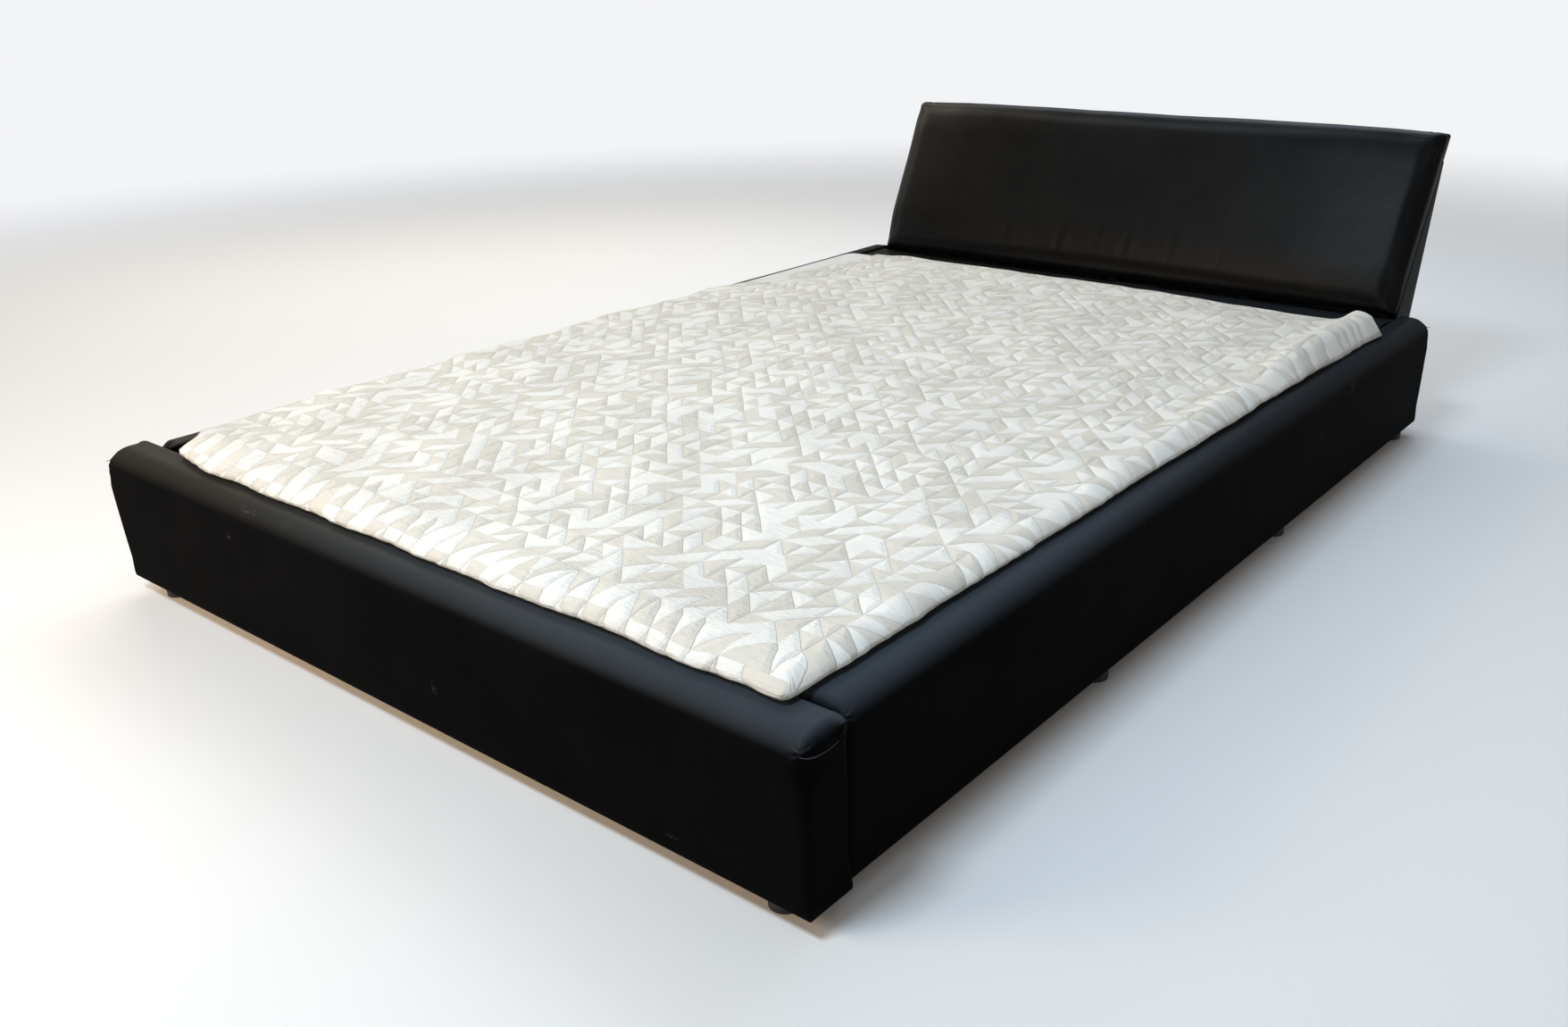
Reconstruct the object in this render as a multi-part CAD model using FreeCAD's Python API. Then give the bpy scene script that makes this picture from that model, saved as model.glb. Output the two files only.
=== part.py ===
import FreeCAD, Part
import math
import os

# A low upholstered platform bed: a footboard, two side rails and a head rail wrapped in
# leathercloth, a headboard that leans back on wedge-shaped frames, a slatted base, and a
# loose mattress with a quilted cover.
# Millimetres. +Z is up, +Y points to the head end, +X is the right side seen from the foot.
# The origin is on the floor, under the middle of the whole bed.

V = FreeCAD.Vector

# Driving dimensions of the whole bed
OVERALL_LENGTH = 2500
FOOT_WIDTH = 1716
FRAME_UNDERSIDE = 30
FRAME_TOP = 290
HALF_LENGTH = OVERALL_LENGTH / 2
FOOT_HALF_WIDTH = FOOT_WIDTH / 2

# Mattress well between the upholstered panels
WELL_HALF_WIDTH = 765
FOOTBOARD_THICKNESS = 90
RAIL_THICKNESS = 80
HEAD_RAIL_DEPTH = 118
HEAD_RAIL_TOP = 286
HEADBOARD_OVERHANG = 160
WELL_FOOT_Y = -HALF_LENGTH + FOOTBOARD_THICKNESS
RAIL_REAR_Y = HALF_LENGTH - HEADBOARD_OVERHANG
RAIL_OUTER_X = WELL_HALF_WIDTH + RAIL_THICKNESS

# Upholstered panel build-up
COVER = 1.5
SIDE_PAD = 12
TOP_PAD = 22
PANEL_ROUNDING = 22
BOARD = 15
BATTEN_HEIGHT = 18
RIB_LENGTH = 30
RIB_PITCH = 400

# Headboard pad, measured along its own lean, and the wedge frames that carry it
LEAN = math.radians(26)
PAD_HALF_WIDTH = 760
PAD_HEIGHT = 436
PAD_THICKNESS = 60
PAD_BASE_Z = 300
PAD_ROUNDING = 24
PAD_BOARD = 12
PAD_BOARD_MARGIN = 12
PAD_BASE_Y = HALF_LENGTH - PAD_HEIGHT * math.sin(LEAN) - PAD_THICKNESS * math.cos(LEAN)
SIDE_FRAME = 18
SIDE_FRAME_OUTER_X = 762.5
SIDE_FRAME_INNER_X = SIDE_FRAME_OUTER_X - SIDE_FRAME
WEDGE_FOOT_Z = 40
WEDGE_FRONT_Z = 272
WEDGE_BACK_Y = 1134
WEDGE_TOP_HEIGHT = 385
WEDGE_TIP = 6
WEDGE_TIP_DROP = 2
STUD_XS = (-380, 0, 380)
CROSS_RAIL = 18
BOTTOM_RAIL_WIDTH = 90
TOP_RAIL_WIDTH = 50
TOP_RAIL_HEIGHT = 250
WELL_HEAD_Y = PAD_BASE_Y - HEAD_RAIL_DEPTH

# Slatted base
CLEAT_WIDTH = 40
CLEAT_BOTTOM = 50
CLEAT_TOP = 75
SLAT_COUNT = 11
SLAT_WIDTH = 90
SLAT_THICKNESS = 18
SLAT_END_GAP = 2
SLAT_MARGIN = 6
SLAT_TOP = CLEAT_TOP + SLAT_THICKNESS
BEAM_HALF_WIDTH = 20
BEAM_BOTTOM = 32
CENTRE_LEG_RADIUS = 22
CENTRE_LEG_YS = (-700, -135, 430)
FOOT_RADIUS = 24

# Hardware
STEEL = 3
BRACKET_LEG = 60
BRACKET_BOTTOM = 36
BRACKET_TOP = 72
BRACKET_BOLTS = (22, 46)
BRACKET_GAP = 14
HANGER_LENGTH = 50
BOLT_RADIUS = 4
BOLT_HEAD_RADIUS = 7.5
BOLT_HEAD = 5
BOLT_GRIP = COVER + SIDE_PAD + BOARD
HEADBOARD_BOLT_Y = PAD_BASE_Y + 42
HEADBOARD_BOLT_ZS = (110, 220)
HEADBOARD_SIDE_GAP = WELL_HALF_WIDTH - SIDE_FRAME_OUTER_X - COVER
CLEAT_SCREW_RADIUS = 2.5
CLEAT_SCREW_LENGTH = 64
SLAT_SCREW_RADIUS = 2
SLAT_SCREW_LENGTH = 34
SCREW_HEAD = 2.5

# Mattress, lying on the slats, and the quilted cover over it
REST_GAP = 0.3
MATTRESS_HALF_WIDTH = 756
MATTRESS_TOP = 311
QUILT = 5
QUILT_HEM_Z = 190
TICKING = 1.5
MATTRESS_CORNER = 55
MATTRESS_TOP_ROUNDING = 38
MATTRESS_FOOT_GAP = 4
MATTRESS_HEAD_GAP = 10

nodes = {}


def box(x0, x1, y0, y1, z0, z1):
    """A block between two opposite corners."""
    return Part.makeBox(x1 - x0, y1 - y0, z1 - z0, V(x0, y0, z0))


def rounded(solid, radius, wanted):
    """The solid with every edge whose midpoint and direction are wanted rounded over."""
    edges = []
    for edge in solid.Edges:
        middle = edge.valueAt((edge.FirstParameter + edge.LastParameter) / 2)
        direction = edge.tangentAt(edge.FirstParameter)
        if wanted(middle, direction):
            edges.append(edge)
    return solid.makeFillet(radius, edges)


def group(solids):
    """Several separate solids kept as one node."""
    return Part.makeCompound(list(solids))


def drill(names, tool):
    """Cut the same hole through each of the named nodes."""
    for name in names:
        nodes[name] = nodes[name].cut(tool)


# Upholstered panels: two boards with battens and ribs between them, foam, and a cover

def block_along(axis, along, across, z0, z1):
    """A block from its extents along and across a panel that runs along X or Y."""
    if axis == "x":
        return box(along[0], along[1], across[0], across[1], z0, z1)
    return box(across[0], across[1], along[0], along[1], z0, z1)


def panel_envelope(axis, along, across, z0, z1, radius, between):
    """The outside of a padded panel. A free one is rounded on its top edges and its upright
    corners, and one that stands between others only along its front top edge."""
    solid = block_along(axis, along, across, z0, z1)

    def wanted(middle, direction):
        on_top = abs(middle.z - z1) < 0.01
        if between:
            return on_top and abs(middle.y - across[0]) < 0.01
        return on_top or abs(direction.z) > 0.9

    return rounded(solid, radius, wanted)


def inset(span, amount):
    """A span shortened by the same amount at both ends."""
    return (span[0] + amount, span[1] - amount)


def make_panel(name, axis, along, across, top, well_side, between=False):
    """All six nodes of one upholstered panel. The well is on its high side (1) or low side (-1),
    and between says that its ends butt against other panels."""
    bottom = FRAME_UNDERSIDE
    outside = panel_envelope(axis, along, across, bottom, top, PANEL_ROUNDING, between)
    end_cover = 0 if between else COVER
    inner_along = inset(along, end_cover)
    inner_across = inset(across, COVER)
    padding = panel_envelope(axis, inner_along, inner_across, bottom + COVER, top - COVER,
                             PANEL_ROUNDING - COVER, between)
    end_pad = 0 if between else SIDE_PAD
    frame_along = inset(inner_along, end_pad)
    frame_across = inset(inner_across, SIDE_PAD)
    frame_bottom = bottom + COVER
    frame_top = top - COVER - TOP_PAD
    cavity = block_along(axis, frame_along, frame_across, frame_bottom, frame_top)
    nodes[name + "_cover"] = outside.cut(padding)
    nodes[name + "_foam"] = padding.cut(cavity)

    low_board = (frame_across[0], frame_across[0] + BOARD)
    high_board = (frame_across[1] - BOARD, frame_across[1])
    gap = (low_board[1], high_board[0])
    boards = {1: high_board, -1: low_board}
    nodes[name + "_inner_board"] = block_along(axis, frame_along, boards[well_side],
                                               frame_bottom, frame_top)
    nodes[name + "_outer_board"] = block_along(axis, frame_along, boards[-well_side],
                                               frame_bottom, frame_top)
    batten_levels = (frame_bottom, frame_top - BATTEN_HEIGHT)
    nodes[name + "_battens"] = group(
        block_along(axis, frame_along, gap, z, z + BATTEN_HEIGHT) for z in batten_levels)
    length = frame_along[1] - frame_along[0]
    count = int(length // RIB_PITCH) + 1
    step = (length - RIB_LENGTH) / (count - 1)
    ribs = []
    for index in range(count):
        start = frame_along[0] + index * step
        ribs.append(block_along(axis, (start, start + RIB_LENGTH), gap,
                                batten_levels[0] + BATTEN_HEIGHT, batten_levels[1]))
    nodes[name + "_ribs"] = group(ribs)


make_panel("footboard", "x", (-FOOT_HALF_WIDTH, FOOT_HALF_WIDTH), (-HALF_LENGTH, WELL_FOOT_Y),
           FRAME_TOP, well_side=1)
make_panel("left_rail", "y", (WELL_FOOT_Y, RAIL_REAR_Y), (-RAIL_OUTER_X, -WELL_HALF_WIDTH),
           FRAME_TOP, well_side=1)
make_panel("right_rail", "y", (WELL_FOOT_Y, RAIL_REAR_Y), (WELL_HALF_WIDTH, RAIL_OUTER_X),
           FRAME_TOP, well_side=-1)
make_panel("head_rail", "x", (-WELL_HALF_WIDTH, WELL_HALF_WIDTH), (WELL_HEAD_Y, PAD_BASE_Y),
           HEAD_RAIL_TOP, well_side=-1, between=True)


# Headboard: a leaning pad on wedge frames that stand between the rails

def lean(solid):
    """Turn a solid from the pad's own upright frame to its place on the bed."""
    solid.rotate(V(0, 0, 0), V(1, 0, 0), -math.degrees(LEAN))
    solid.translate(V(0, PAD_BASE_Y, PAD_BASE_Z))
    return solid


def on_pad(depth, height):
    """Bed coordinates (y, z) of a point so deep behind the pad's face and so far up it."""
    y = PAD_BASE_Y + depth * math.cos(LEAN) + height * math.sin(LEAN)
    z = PAD_BASE_Z - depth * math.sin(LEAN) + height * math.cos(LEAN)
    return y, z


def profile_prism(points, x0, x1):
    """A side profile, given as (y, z) points, carried from x0 to x1."""
    corners = [V(x0, y, z) for y, z in points]
    face = Part.Face(Part.makePolygon(corners + corners[:1]))
    return face.extrude(V(x1 - x0, 0, 0))


def pad_block(shrink, radius):
    """The pad in its own frame, rounded on its front edges and its four corners."""
    half = PAD_HALF_WIDTH - shrink
    solid = box(-half, half, shrink, PAD_THICKNESS - shrink, shrink, PAD_HEIGHT - shrink)

    def wanted(middle, direction):
        return abs(middle.y - shrink) < 0.01 or abs(direction.y) > 0.9

    return rounded(solid, radius, wanted)


def make_headboard():
    """The pad, its board and covers, and the frame of wedges, studs and rails behind it."""
    pad_outside = pad_block(0, PAD_ROUNDING)
    pad_padding = pad_block(COVER, PAD_ROUNDING - COVER)
    board_margin = COVER + PAD_BOARD_MARGIN
    board_back = PAD_THICKNESS - COVER
    board = box(-PAD_HALF_WIDTH + board_margin, PAD_HALF_WIDTH - board_margin,
                board_back - PAD_BOARD, board_back, board_margin, PAD_HEIGHT - board_margin)
    nodes["headboard_cover"] = lean(pad_outside.cut(pad_padding))
    nodes["headboard_foam"] = lean(pad_padding.cut(board))
    nodes["headboard_panel"] = lean(board)

    tip = on_pad(PAD_THICKNESS, WEDGE_TOP_HEIGHT)
    back_top = (tip[0] + WEDGE_TIP, tip[1] - WEDGE_TIP_DROP)
    back_bottom = (WEDGE_BACK_Y, WEDGE_FOOT_Z)
    wedge = [(PAD_BASE_Y, WEDGE_FOOT_Z), (PAD_BASE_Y, WEDGE_FRONT_Z), on_pad(PAD_THICKNESS, 0),
             tip, back_top, back_bottom]
    for side, sign in (("left", -1), ("right", 1)):
        nodes[f"headboard_{side}_frame"] = profile_prism(
            wedge, sign * SIDE_FRAME_INNER_X, sign * SIDE_FRAME_OUTER_X)
        nodes[f"headboard_{side}_cover"] = profile_prism(
            wedge, sign * SIDE_FRAME_OUTER_X, sign * (SIDE_FRAME_OUTER_X + COVER))

    bottom_rail = box(-SIDE_FRAME_INNER_X, SIDE_FRAME_INNER_X,
                      PAD_BASE_Y, PAD_BASE_Y + CROSS_RAIL,
                      WEDGE_FOOT_Z, WEDGE_FOOT_Z + BOTTOM_RAIL_WIDTH)
    top_rail = lean(box(-SIDE_FRAME_INNER_X, SIDE_FRAME_INNER_X,
                        PAD_THICKNESS, PAD_THICKNESS + CROSS_RAIL,
                        TOP_RAIL_HEIGHT, TOP_RAIL_HEIGHT + TOP_RAIL_WIDTH))
    studs = []
    for x in STUD_XS:
        stud = profile_prism(wedge, x - SIDE_FRAME / 2, x + SIDE_FRAME / 2)
        studs.append(stud.cut(bottom_rail).cut(top_rail))
    nodes["headboard_bottom_rail"] = bottom_rail
    nodes["headboard_top_rail"] = top_rail
    nodes["headboard_studs"] = group(studs)

    cloth = [back_top, (back_top[0] + COVER, back_top[1]),
             (back_bottom[0] + COVER, back_bottom[1]), back_bottom]
    nodes["headboard_back_cloth"] = profile_prism(cloth, -SIDE_FRAME_OUTER_X, SIDE_FRAME_OUTER_X)


make_headboard()


# Slatted base: cleats along the rails, a beam down the middle, slats across

def slat_centre(index):
    """Place of one slat's middle along the bed."""
    first = WELL_FOOT_Y + SLAT_MARGIN + SLAT_WIDTH / 2
    last = WELL_HEAD_Y - SLAT_MARGIN - SLAT_WIDTH / 2
    return first + index * (last - first) / (SLAT_COUNT - 1)


cleat_span = (WELL_FOOT_Y + BRACKET_LEG + BRACKET_GAP, WELL_HEAD_Y - BRACKET_LEG - BRACKET_GAP)
nodes["left_cleat"] = box(-WELL_HALF_WIDTH, -WELL_HALF_WIDTH + CLEAT_WIDTH, *cleat_span,
                          CLEAT_BOTTOM, CLEAT_TOP)
nodes["right_cleat"] = box(WELL_HALF_WIDTH - CLEAT_WIDTH, WELL_HALF_WIDTH, *cleat_span,
                           CLEAT_BOTTOM, CLEAT_TOP)
nodes["centre_beam"] = box(-BEAM_HALF_WIDTH, BEAM_HALF_WIDTH, WELL_FOOT_Y + STEEL,
                           WELL_HEAD_Y - STEEL, BEAM_BOTTOM, CLEAT_TOP)
nodes["centre_legs"] = group(
    Part.makeCylinder(CENTRE_LEG_RADIUS, BEAM_BOTTOM, V(0, y, 0)) for y in CENTRE_LEG_YS)
for index in range(SLAT_COUNT):
    middle = slat_centre(index)
    half_length = WELL_HALF_WIDTH - SLAT_END_GAP
    nodes[f"slat_{index + 1:02d}"] = box(-half_length, half_length, middle - SLAT_WIDTH / 2,
                                         middle + SLAT_WIDTH / 2, CLEAT_TOP, SLAT_TOP)

foot_places = [(sign * (FOOT_HALF_WIDTH - 80), -HALF_LENGTH + FOOTBOARD_THICKNESS / 2)
               for sign in (-1, 1)]
for y in (-450, 300, RAIL_REAR_Y - 60):
    for sign in (-1, 1):
        foot_places.append((sign * (RAIL_OUTER_X - RAIL_THICKNESS / 2), y))
nodes["feet"] = group(
    Part.makeCylinder(FOOT_RADIUS, FRAME_UNDERSIDE, V(x, y, 0)) for x, y in foot_places)


# Hardware

def cylinder(radius, length, start, direction):
    """A round bar from a start point along a direction."""
    return Part.makeCylinder(radius, length, start, direction)


def hex_bolt(seat, direction, grip):
    """A bolt with its head on the seat's near side and its shank running on past it."""
    head = Part.Face(Part.makePolygon(
        [V(BOLT_HEAD_RADIUS * math.cos(math.radians(60 * k)),
           BOLT_HEAD_RADIUS * math.sin(math.radians(60 * k)), 0) for k in range(7)]))
    bolt = head.extrude(V(0, 0, -BOLT_HEAD)).fuse(
        cylinder(BOLT_RADIUS, grip, V(0, 0, 0), V(0, 0, 1)))
    bolt.Placement = FreeCAD.Placement(seat, FreeCAD.Rotation(V(0, 0, 1), direction))
    return bolt


def hanger(y, sign):
    """A steel stirrup for one end of the centre beam, open at the top."""
    near = sorted((y, y + sign * HANGER_LENGTH))
    plate = sorted((y, y + sign * STEEL))
    outer = box(-BEAM_HALF_WIDTH - STEEL, BEAM_HALF_WIDTH + STEEL, *near,
                BEAM_BOTTOM - STEEL, CLEAT_TOP)
    room = box(-BEAM_HALF_WIDTH, BEAM_HALF_WIDTH, *near, BEAM_BOTTOM, CLEAT_TOP)
    back = box(-BEAM_HALF_WIDTH, BEAM_HALF_WIDTH, *plate, BEAM_BOTTOM, CLEAT_TOP)
    return outer.cut(room).fuse(back).removeSplitter()


nodes["beam_hangers"] = group([hanger(WELL_FOOT_Y, 1), hanger(WELL_HEAD_Y, -1)])

brackets = []
bolts = []
for side, sign in (("left", -1), ("right", 1)):
    for panel, corner_y, inward in (("footboard", WELL_FOOT_Y, 1), ("head_rail", WELL_HEAD_Y, -1)):
        corner_x = sign * WELL_HALF_WIDTH
        reach_x = corner_x - sign * BRACKET_LEG
        reach_y = corner_y + inward * BRACKET_LEG
        bracket = box(*sorted((corner_x, corner_x - sign * STEEL)), *sorted((corner_y, reach_y)),
                      BRACKET_BOTTOM, BRACKET_TOP)
        bracket = bracket.fuse(box(*sorted((corner_x, reach_x)),
                                   *sorted((corner_y, corner_y + inward * STEEL)),
                                   BRACKET_BOTTOM, BRACKET_TOP)).removeSplitter()
        level = (BRACKET_BOTTOM + BRACKET_TOP) / 2
        for offset in BRACKET_BOLTS:
            into_rail = hex_bolt(V(corner_x - sign * STEEL, corner_y + inward * offset, level),
                                 V(sign, 0, 0), BOLT_GRIP + STEEL)
            into_panel = hex_bolt(V(corner_x - sign * offset, corner_y + inward * STEEL, level),
                                  V(0, -inward, 0), BOLT_GRIP + STEEL)
            layers = ("_cover", "_foam", "_inner_board")
            drill([side + "_rail" + layer for layer in layers], into_rail)
            drill([panel + layer for layer in layers], into_panel)
            bracket = bracket.cut(into_rail).cut(into_panel)
            bolts += [into_rail, into_panel]
        brackets.append(bracket)
    for z in HEADBOARD_BOLT_ZS:
        grip = SIDE_FRAME + COVER + HEADBOARD_SIDE_GAP + BOLT_GRIP
        bolt = hex_bolt(V(sign * SIDE_FRAME_INNER_X, HEADBOARD_BOLT_Y, z), V(sign, 0, 0), grip)
        drill([f"headboard_{side}_frame", f"headboard_{side}_cover", side + "_rail_cover",
               side + "_rail_foam", side + "_rail_inner_board"], bolt)
        bolts.append(bolt)
nodes["corner_brackets"] = group(brackets)
nodes["frame_bolts"] = group(bolts)

cleat_screws = []
slat_screws = []
for side, sign in (("left", -1), ("right", 1)):
    face_x = sign * (WELL_HALF_WIDTH - CLEAT_WIDTH)
    for index in range(SLAT_COUNT):
        top = V(sign * (WELL_HALF_WIDTH - CLEAT_WIDTH / 2), slat_centre(index), SLAT_TOP)
        screw = cylinder(SLAT_SCREW_RADIUS * 2, SCREW_HEAD, top, V(0, 0, -1)).fuse(
            cylinder(SLAT_SCREW_RADIUS, SLAT_SCREW_LENGTH, top, V(0, 0, -1))).removeSplitter()
        if cleat_span[0] < top.y < cleat_span[1]:
            drill([f"slat_{index + 1:02d}", side + "_cleat"], screw)
            slat_screws.append(screw)
    for index in range(1, SLAT_COUNT - 2, 2):
        y = (slat_centre(index) + slat_centre(index + 1)) / 2
        seat = V(face_x, y, (CLEAT_BOTTOM + CLEAT_TOP) / 2)
        shank = cylinder(CLEAT_SCREW_RADIUS, CLEAT_SCREW_LENGTH, seat, V(sign, 0, 0))
        head = cylinder(CLEAT_SCREW_RADIUS * 2, SCREW_HEAD, seat, V(-sign, 0, 0))
        screw = shank.fuse(head).removeSplitter()
        drill([side + "_cleat", side + "_rail_cover", side + "_rail_foam",
               side + "_rail_inner_board"], screw)
        cleat_screws.append(screw)
nodes["cleat_screws"] = group(cleat_screws)
nodes["slat_screws"] = group(slat_screws)


# Mattress and its quilted cover

def mattress_block(shrink, bottom):
    """The mattress shape, smaller all round by shrink, from a given level to its top."""
    x = MATTRESS_HALF_WIDTH - shrink
    y0 = WELL_FOOT_Y + MATTRESS_FOOT_GAP + QUILT + shrink
    y1 = WELL_HEAD_Y - MATTRESS_HEAD_GAP - QUILT - shrink
    top = MATTRESS_TOP - shrink
    solid = box(-x, x, y0, y1, bottom, top)
    solid = rounded(solid, MATTRESS_CORNER - shrink, lambda middle, way: abs(way.z) > 0.9)
    return rounded(solid, MATTRESS_TOP_ROUNDING - shrink,
                   lambda middle, way: abs(middle.z - top) < 0.01)


mattress_bottom = SLAT_TOP + REST_GAP
ticking_outside = mattress_block(0, mattress_bottom)
core = mattress_block(TICKING, mattress_bottom + TICKING)
nodes["mattress_core"] = core
nodes["mattress_ticking"] = ticking_outside.cut(core)
nodes["quilted_cover"] = mattress_block(-QUILT, QUILT_HEM_Z).cut(ticking_outside)

os.makedirs("parts", exist_ok=True)
for name, shape in nodes.items():
    shape.exportStep(f"parts/{name}.step")
    solids = len(shape.Solids)
    print(f"{name}: {solids} solid(s), {shape.Volume / 1000:.1f} cm3, valid {shape.isValid()}")
everything = Part.makeCompound(list(nodes.values()))
size = everything.BoundBox
print(f"{len(nodes)} nodes, box {size}")
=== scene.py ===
# %% [markdown]
# # An upholstered platform bed with a leaning headboard
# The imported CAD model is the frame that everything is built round. It holds every board, slat and
# bolt in its true place. This notebook adds what a measured model leaves out: soft rolled
# edges, seams, gathers, a crumpled quilt, and the finish of each material.
# %% Load the frame
import math

import bpy
import numpy as np
from mathutils import Euler, Matrix, Vector, noise


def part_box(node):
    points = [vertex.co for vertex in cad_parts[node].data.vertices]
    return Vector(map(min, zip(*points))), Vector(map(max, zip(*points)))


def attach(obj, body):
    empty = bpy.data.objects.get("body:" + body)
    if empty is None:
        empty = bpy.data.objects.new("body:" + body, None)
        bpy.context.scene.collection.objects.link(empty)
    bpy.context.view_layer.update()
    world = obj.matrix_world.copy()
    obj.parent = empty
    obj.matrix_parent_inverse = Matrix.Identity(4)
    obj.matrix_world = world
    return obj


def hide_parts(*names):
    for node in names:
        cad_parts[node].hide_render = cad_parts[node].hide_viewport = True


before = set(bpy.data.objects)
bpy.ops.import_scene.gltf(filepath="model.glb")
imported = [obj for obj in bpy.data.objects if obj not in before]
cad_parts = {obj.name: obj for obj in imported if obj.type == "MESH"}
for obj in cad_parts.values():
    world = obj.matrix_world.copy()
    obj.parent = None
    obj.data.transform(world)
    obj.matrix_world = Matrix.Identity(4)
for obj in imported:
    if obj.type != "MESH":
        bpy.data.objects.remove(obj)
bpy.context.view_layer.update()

# %% [markdown]
# ## The camera
# The camera is held at chest height off the bed's right foot corner. A 30 mm lens gives the strong
# perspective of a wide room view. The camera is slightly tilted, as a hand holds it, and the
# small shift moves the frame without turning the camera.
# %% Set up the camera
LENS_MM = 30.05
STAND = Vector((1.6873, -2.1864, 1.0854))
TURN_DEG, DOWN_DEG, TILT_DEG = 38.62, 27.23, -1.14

camera_data = bpy.data.cameras.new("room_camera")
camera_data.lens = LENS_MM
camera_data.shift_x = -0.0467
camera_data.shift_y = 0.0712
camera = bpy.data.objects.new("room_camera", camera_data)
bpy.context.scene.collection.objects.link(camera)
aim = Euler((math.radians(90 - DOWN_DEG), 0, math.radians(TURN_DEG))).to_matrix()
turn = aim @ Matrix.Rotation(math.radians(TILT_DEG), 3, "Z")
camera.matrix_world = Matrix.Translation(STAND) @ turn.to_4x4()
bpy.context.scene.camera = camera
bpy.context.scene.view_settings.view_transform = "Standard"
print("camera stands", round((STAND - Vector((0, 0, 0.3))).length, 2), "m from the bed's middle")

# %% [markdown]
# ## Writing a finish as sums
# A finish is a net of nodes. Placing each sum by hand hides the idea, so a small class wraps a
# node's output and gives it Python's own signs: `1 - mask` adds a Subtract node by itself. Any
# other node comes from one method, which takes the node's type, its settings and its sockets.
# %% A wrapper for node sums
class Wire:
    """One output of a node, which Python's signs can work on."""

    def __init__(self, finish, socket):
        self.finish = finish
        self.socket = socket

    def sum_with(self, operation, first, second=0.0):
        return self.finish.node("Math", {"operation": operation}, {0: first, 1: second})

    def __add__(self, other):
        return self.sum_with("ADD", self, other)

    def __sub__(self, other):
        return self.sum_with("SUBTRACT", self, other)

    def __rsub__(self, other):
        return self.sum_with("SUBTRACT", other, self)

    def __mul__(self, other):
        return self.sum_with("MULTIPLY", self, other)

    def __gt__(self, other):
        return self.sum_with("GREATER_THAN", self, other)

    def __abs__(self):
        return self.sum_with("ABSOLUTE", self)

    def smaller(self, other):
        return self.sum_with("MINIMUM", self, other)

    def larger(self, other):
        return self.sum_with("MAXIMUM", self, other)

    def fraction(self):
        return self.sum_with("FRACT", self)

    def wave(self):
        return self.sum_with("SINE", self)

    __radd__ = __add__
    __rmul__ = __mul__


# %% A finish and its nodes
class Finish:
    """A material, or the world round the scene, that is written in Python."""

    def __init__(self, name, world=None):
        self.owner = world or bpy.data.materials.new(name)
        self.owner.use_nodes = True
        self.tree = self.owner.node_tree
        self.tree.nodes.clear()

    def node(self, kind, settings=None, sockets=None, output=0):
        """Adds a node: its settings first, then a value or a wire for each socket."""
        made = self.tree.nodes.new("ShaderNode" + kind)
        for name, value in (settings or {}).items():
            setattr(made, name, value)
        for name, value in (sockets or {}).items():
            if isinstance(value, Wire):
                self.tree.links.new(value.socket, made.inputs[name])
            else:
                made.inputs[name].default_value = value
        return Wire(self, made.outputs[output])

    def place(self):
        """Where a point is on the object, in metres."""
        return self.node("TexCoord", output="Object")

    def axes(self, vector):
        """The three parts of a vector."""
        split = self.node("SeparateXYZ", sockets={0: vector})
        outputs = split.socket.node.outputs
        return [Wire(self, outputs[name]) for name in "XYZ"]

    def vectors(self, operation, first, second=(0.0, 0.0, 0.0), output=0):
        """A sum on vectors."""
        return self.node("VectorMath", {"operation": operation}, {0: first, 1: second}, output)

    def length(self, vector):
        return self.vectors("LENGTH", vector, output="Value")

    def stretched(self, vector, factors):
        """A vector with its parts multiplied, so that a pattern is drawn out along one axis."""
        return self.vectors("MULTIPLY", vector, factors)

    def mottle(self, vector, scale, detail=3.0, roughness=0.55, output=0):
        """Cloudy noise from 0 to 1, its features 1 / scale metres apart."""
        sockets = {"Vector": vector, "Scale": scale, "Detail": detail, "Roughness": roughness}
        return self.node("TexNoise", sockets=sockets, output=output)

    def cells(self, vector, scale, feature="F1", randomness=1.0, output=0):
        """Cells 1 / scale metres apart: how far a point is from its cell's middle, or its colour."""
        sockets = {"Vector": vector, "Scale": scale, "Randomness": randomness}
        return self.node("TexVoronoi", {"feature": feature}, sockets, output)

    def ramp(self, value, low, high, start=0.0, end=1.0):
        """Eases from start to end as value goes from low to high."""
        sockets = {0: value, 1: low, 2: high, 3: start, 4: end}
        return self.node("MapRange", {"interpolation_type": "SMOOTHSTEP"}, sockets)

    def tint(self, share, under, over):
        """Mixes two colours, or wires of colour."""
        sockets = {0: share, 6: under, 7: over}
        return self.node("Mix", {"data_type": "RGBA"}, sockets, output=2)

    def dress(self, colour, roughness, height=None, **fixed):
        """Ends the finish: a surface with this colour, gloss and relief in metres."""
        sockets = {"Base Color": colour, "Roughness": roughness}
        if height is not None:
            relief = {"Height": height, "Distance": 1.0, "Strength": 1.0}
            sockets["Normal"] = self.node("Bump", sockets=relief)
        for name, value in fixed.items():
            sockets[name.replace("_", " ").title().replace("Ior", "IOR")] = value
        self.show(self.node("BsdfPrincipled", sockets=sockets), "OutputMaterial")
        return self.owner

    def show(self, surface, kind):
        """Joins a surface to the node that ends the net."""
        end = self.tree.nodes.new("ShaderNode" + kind)
        self.tree.links.new(surface.socket, end.inputs["Surface"])


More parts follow.
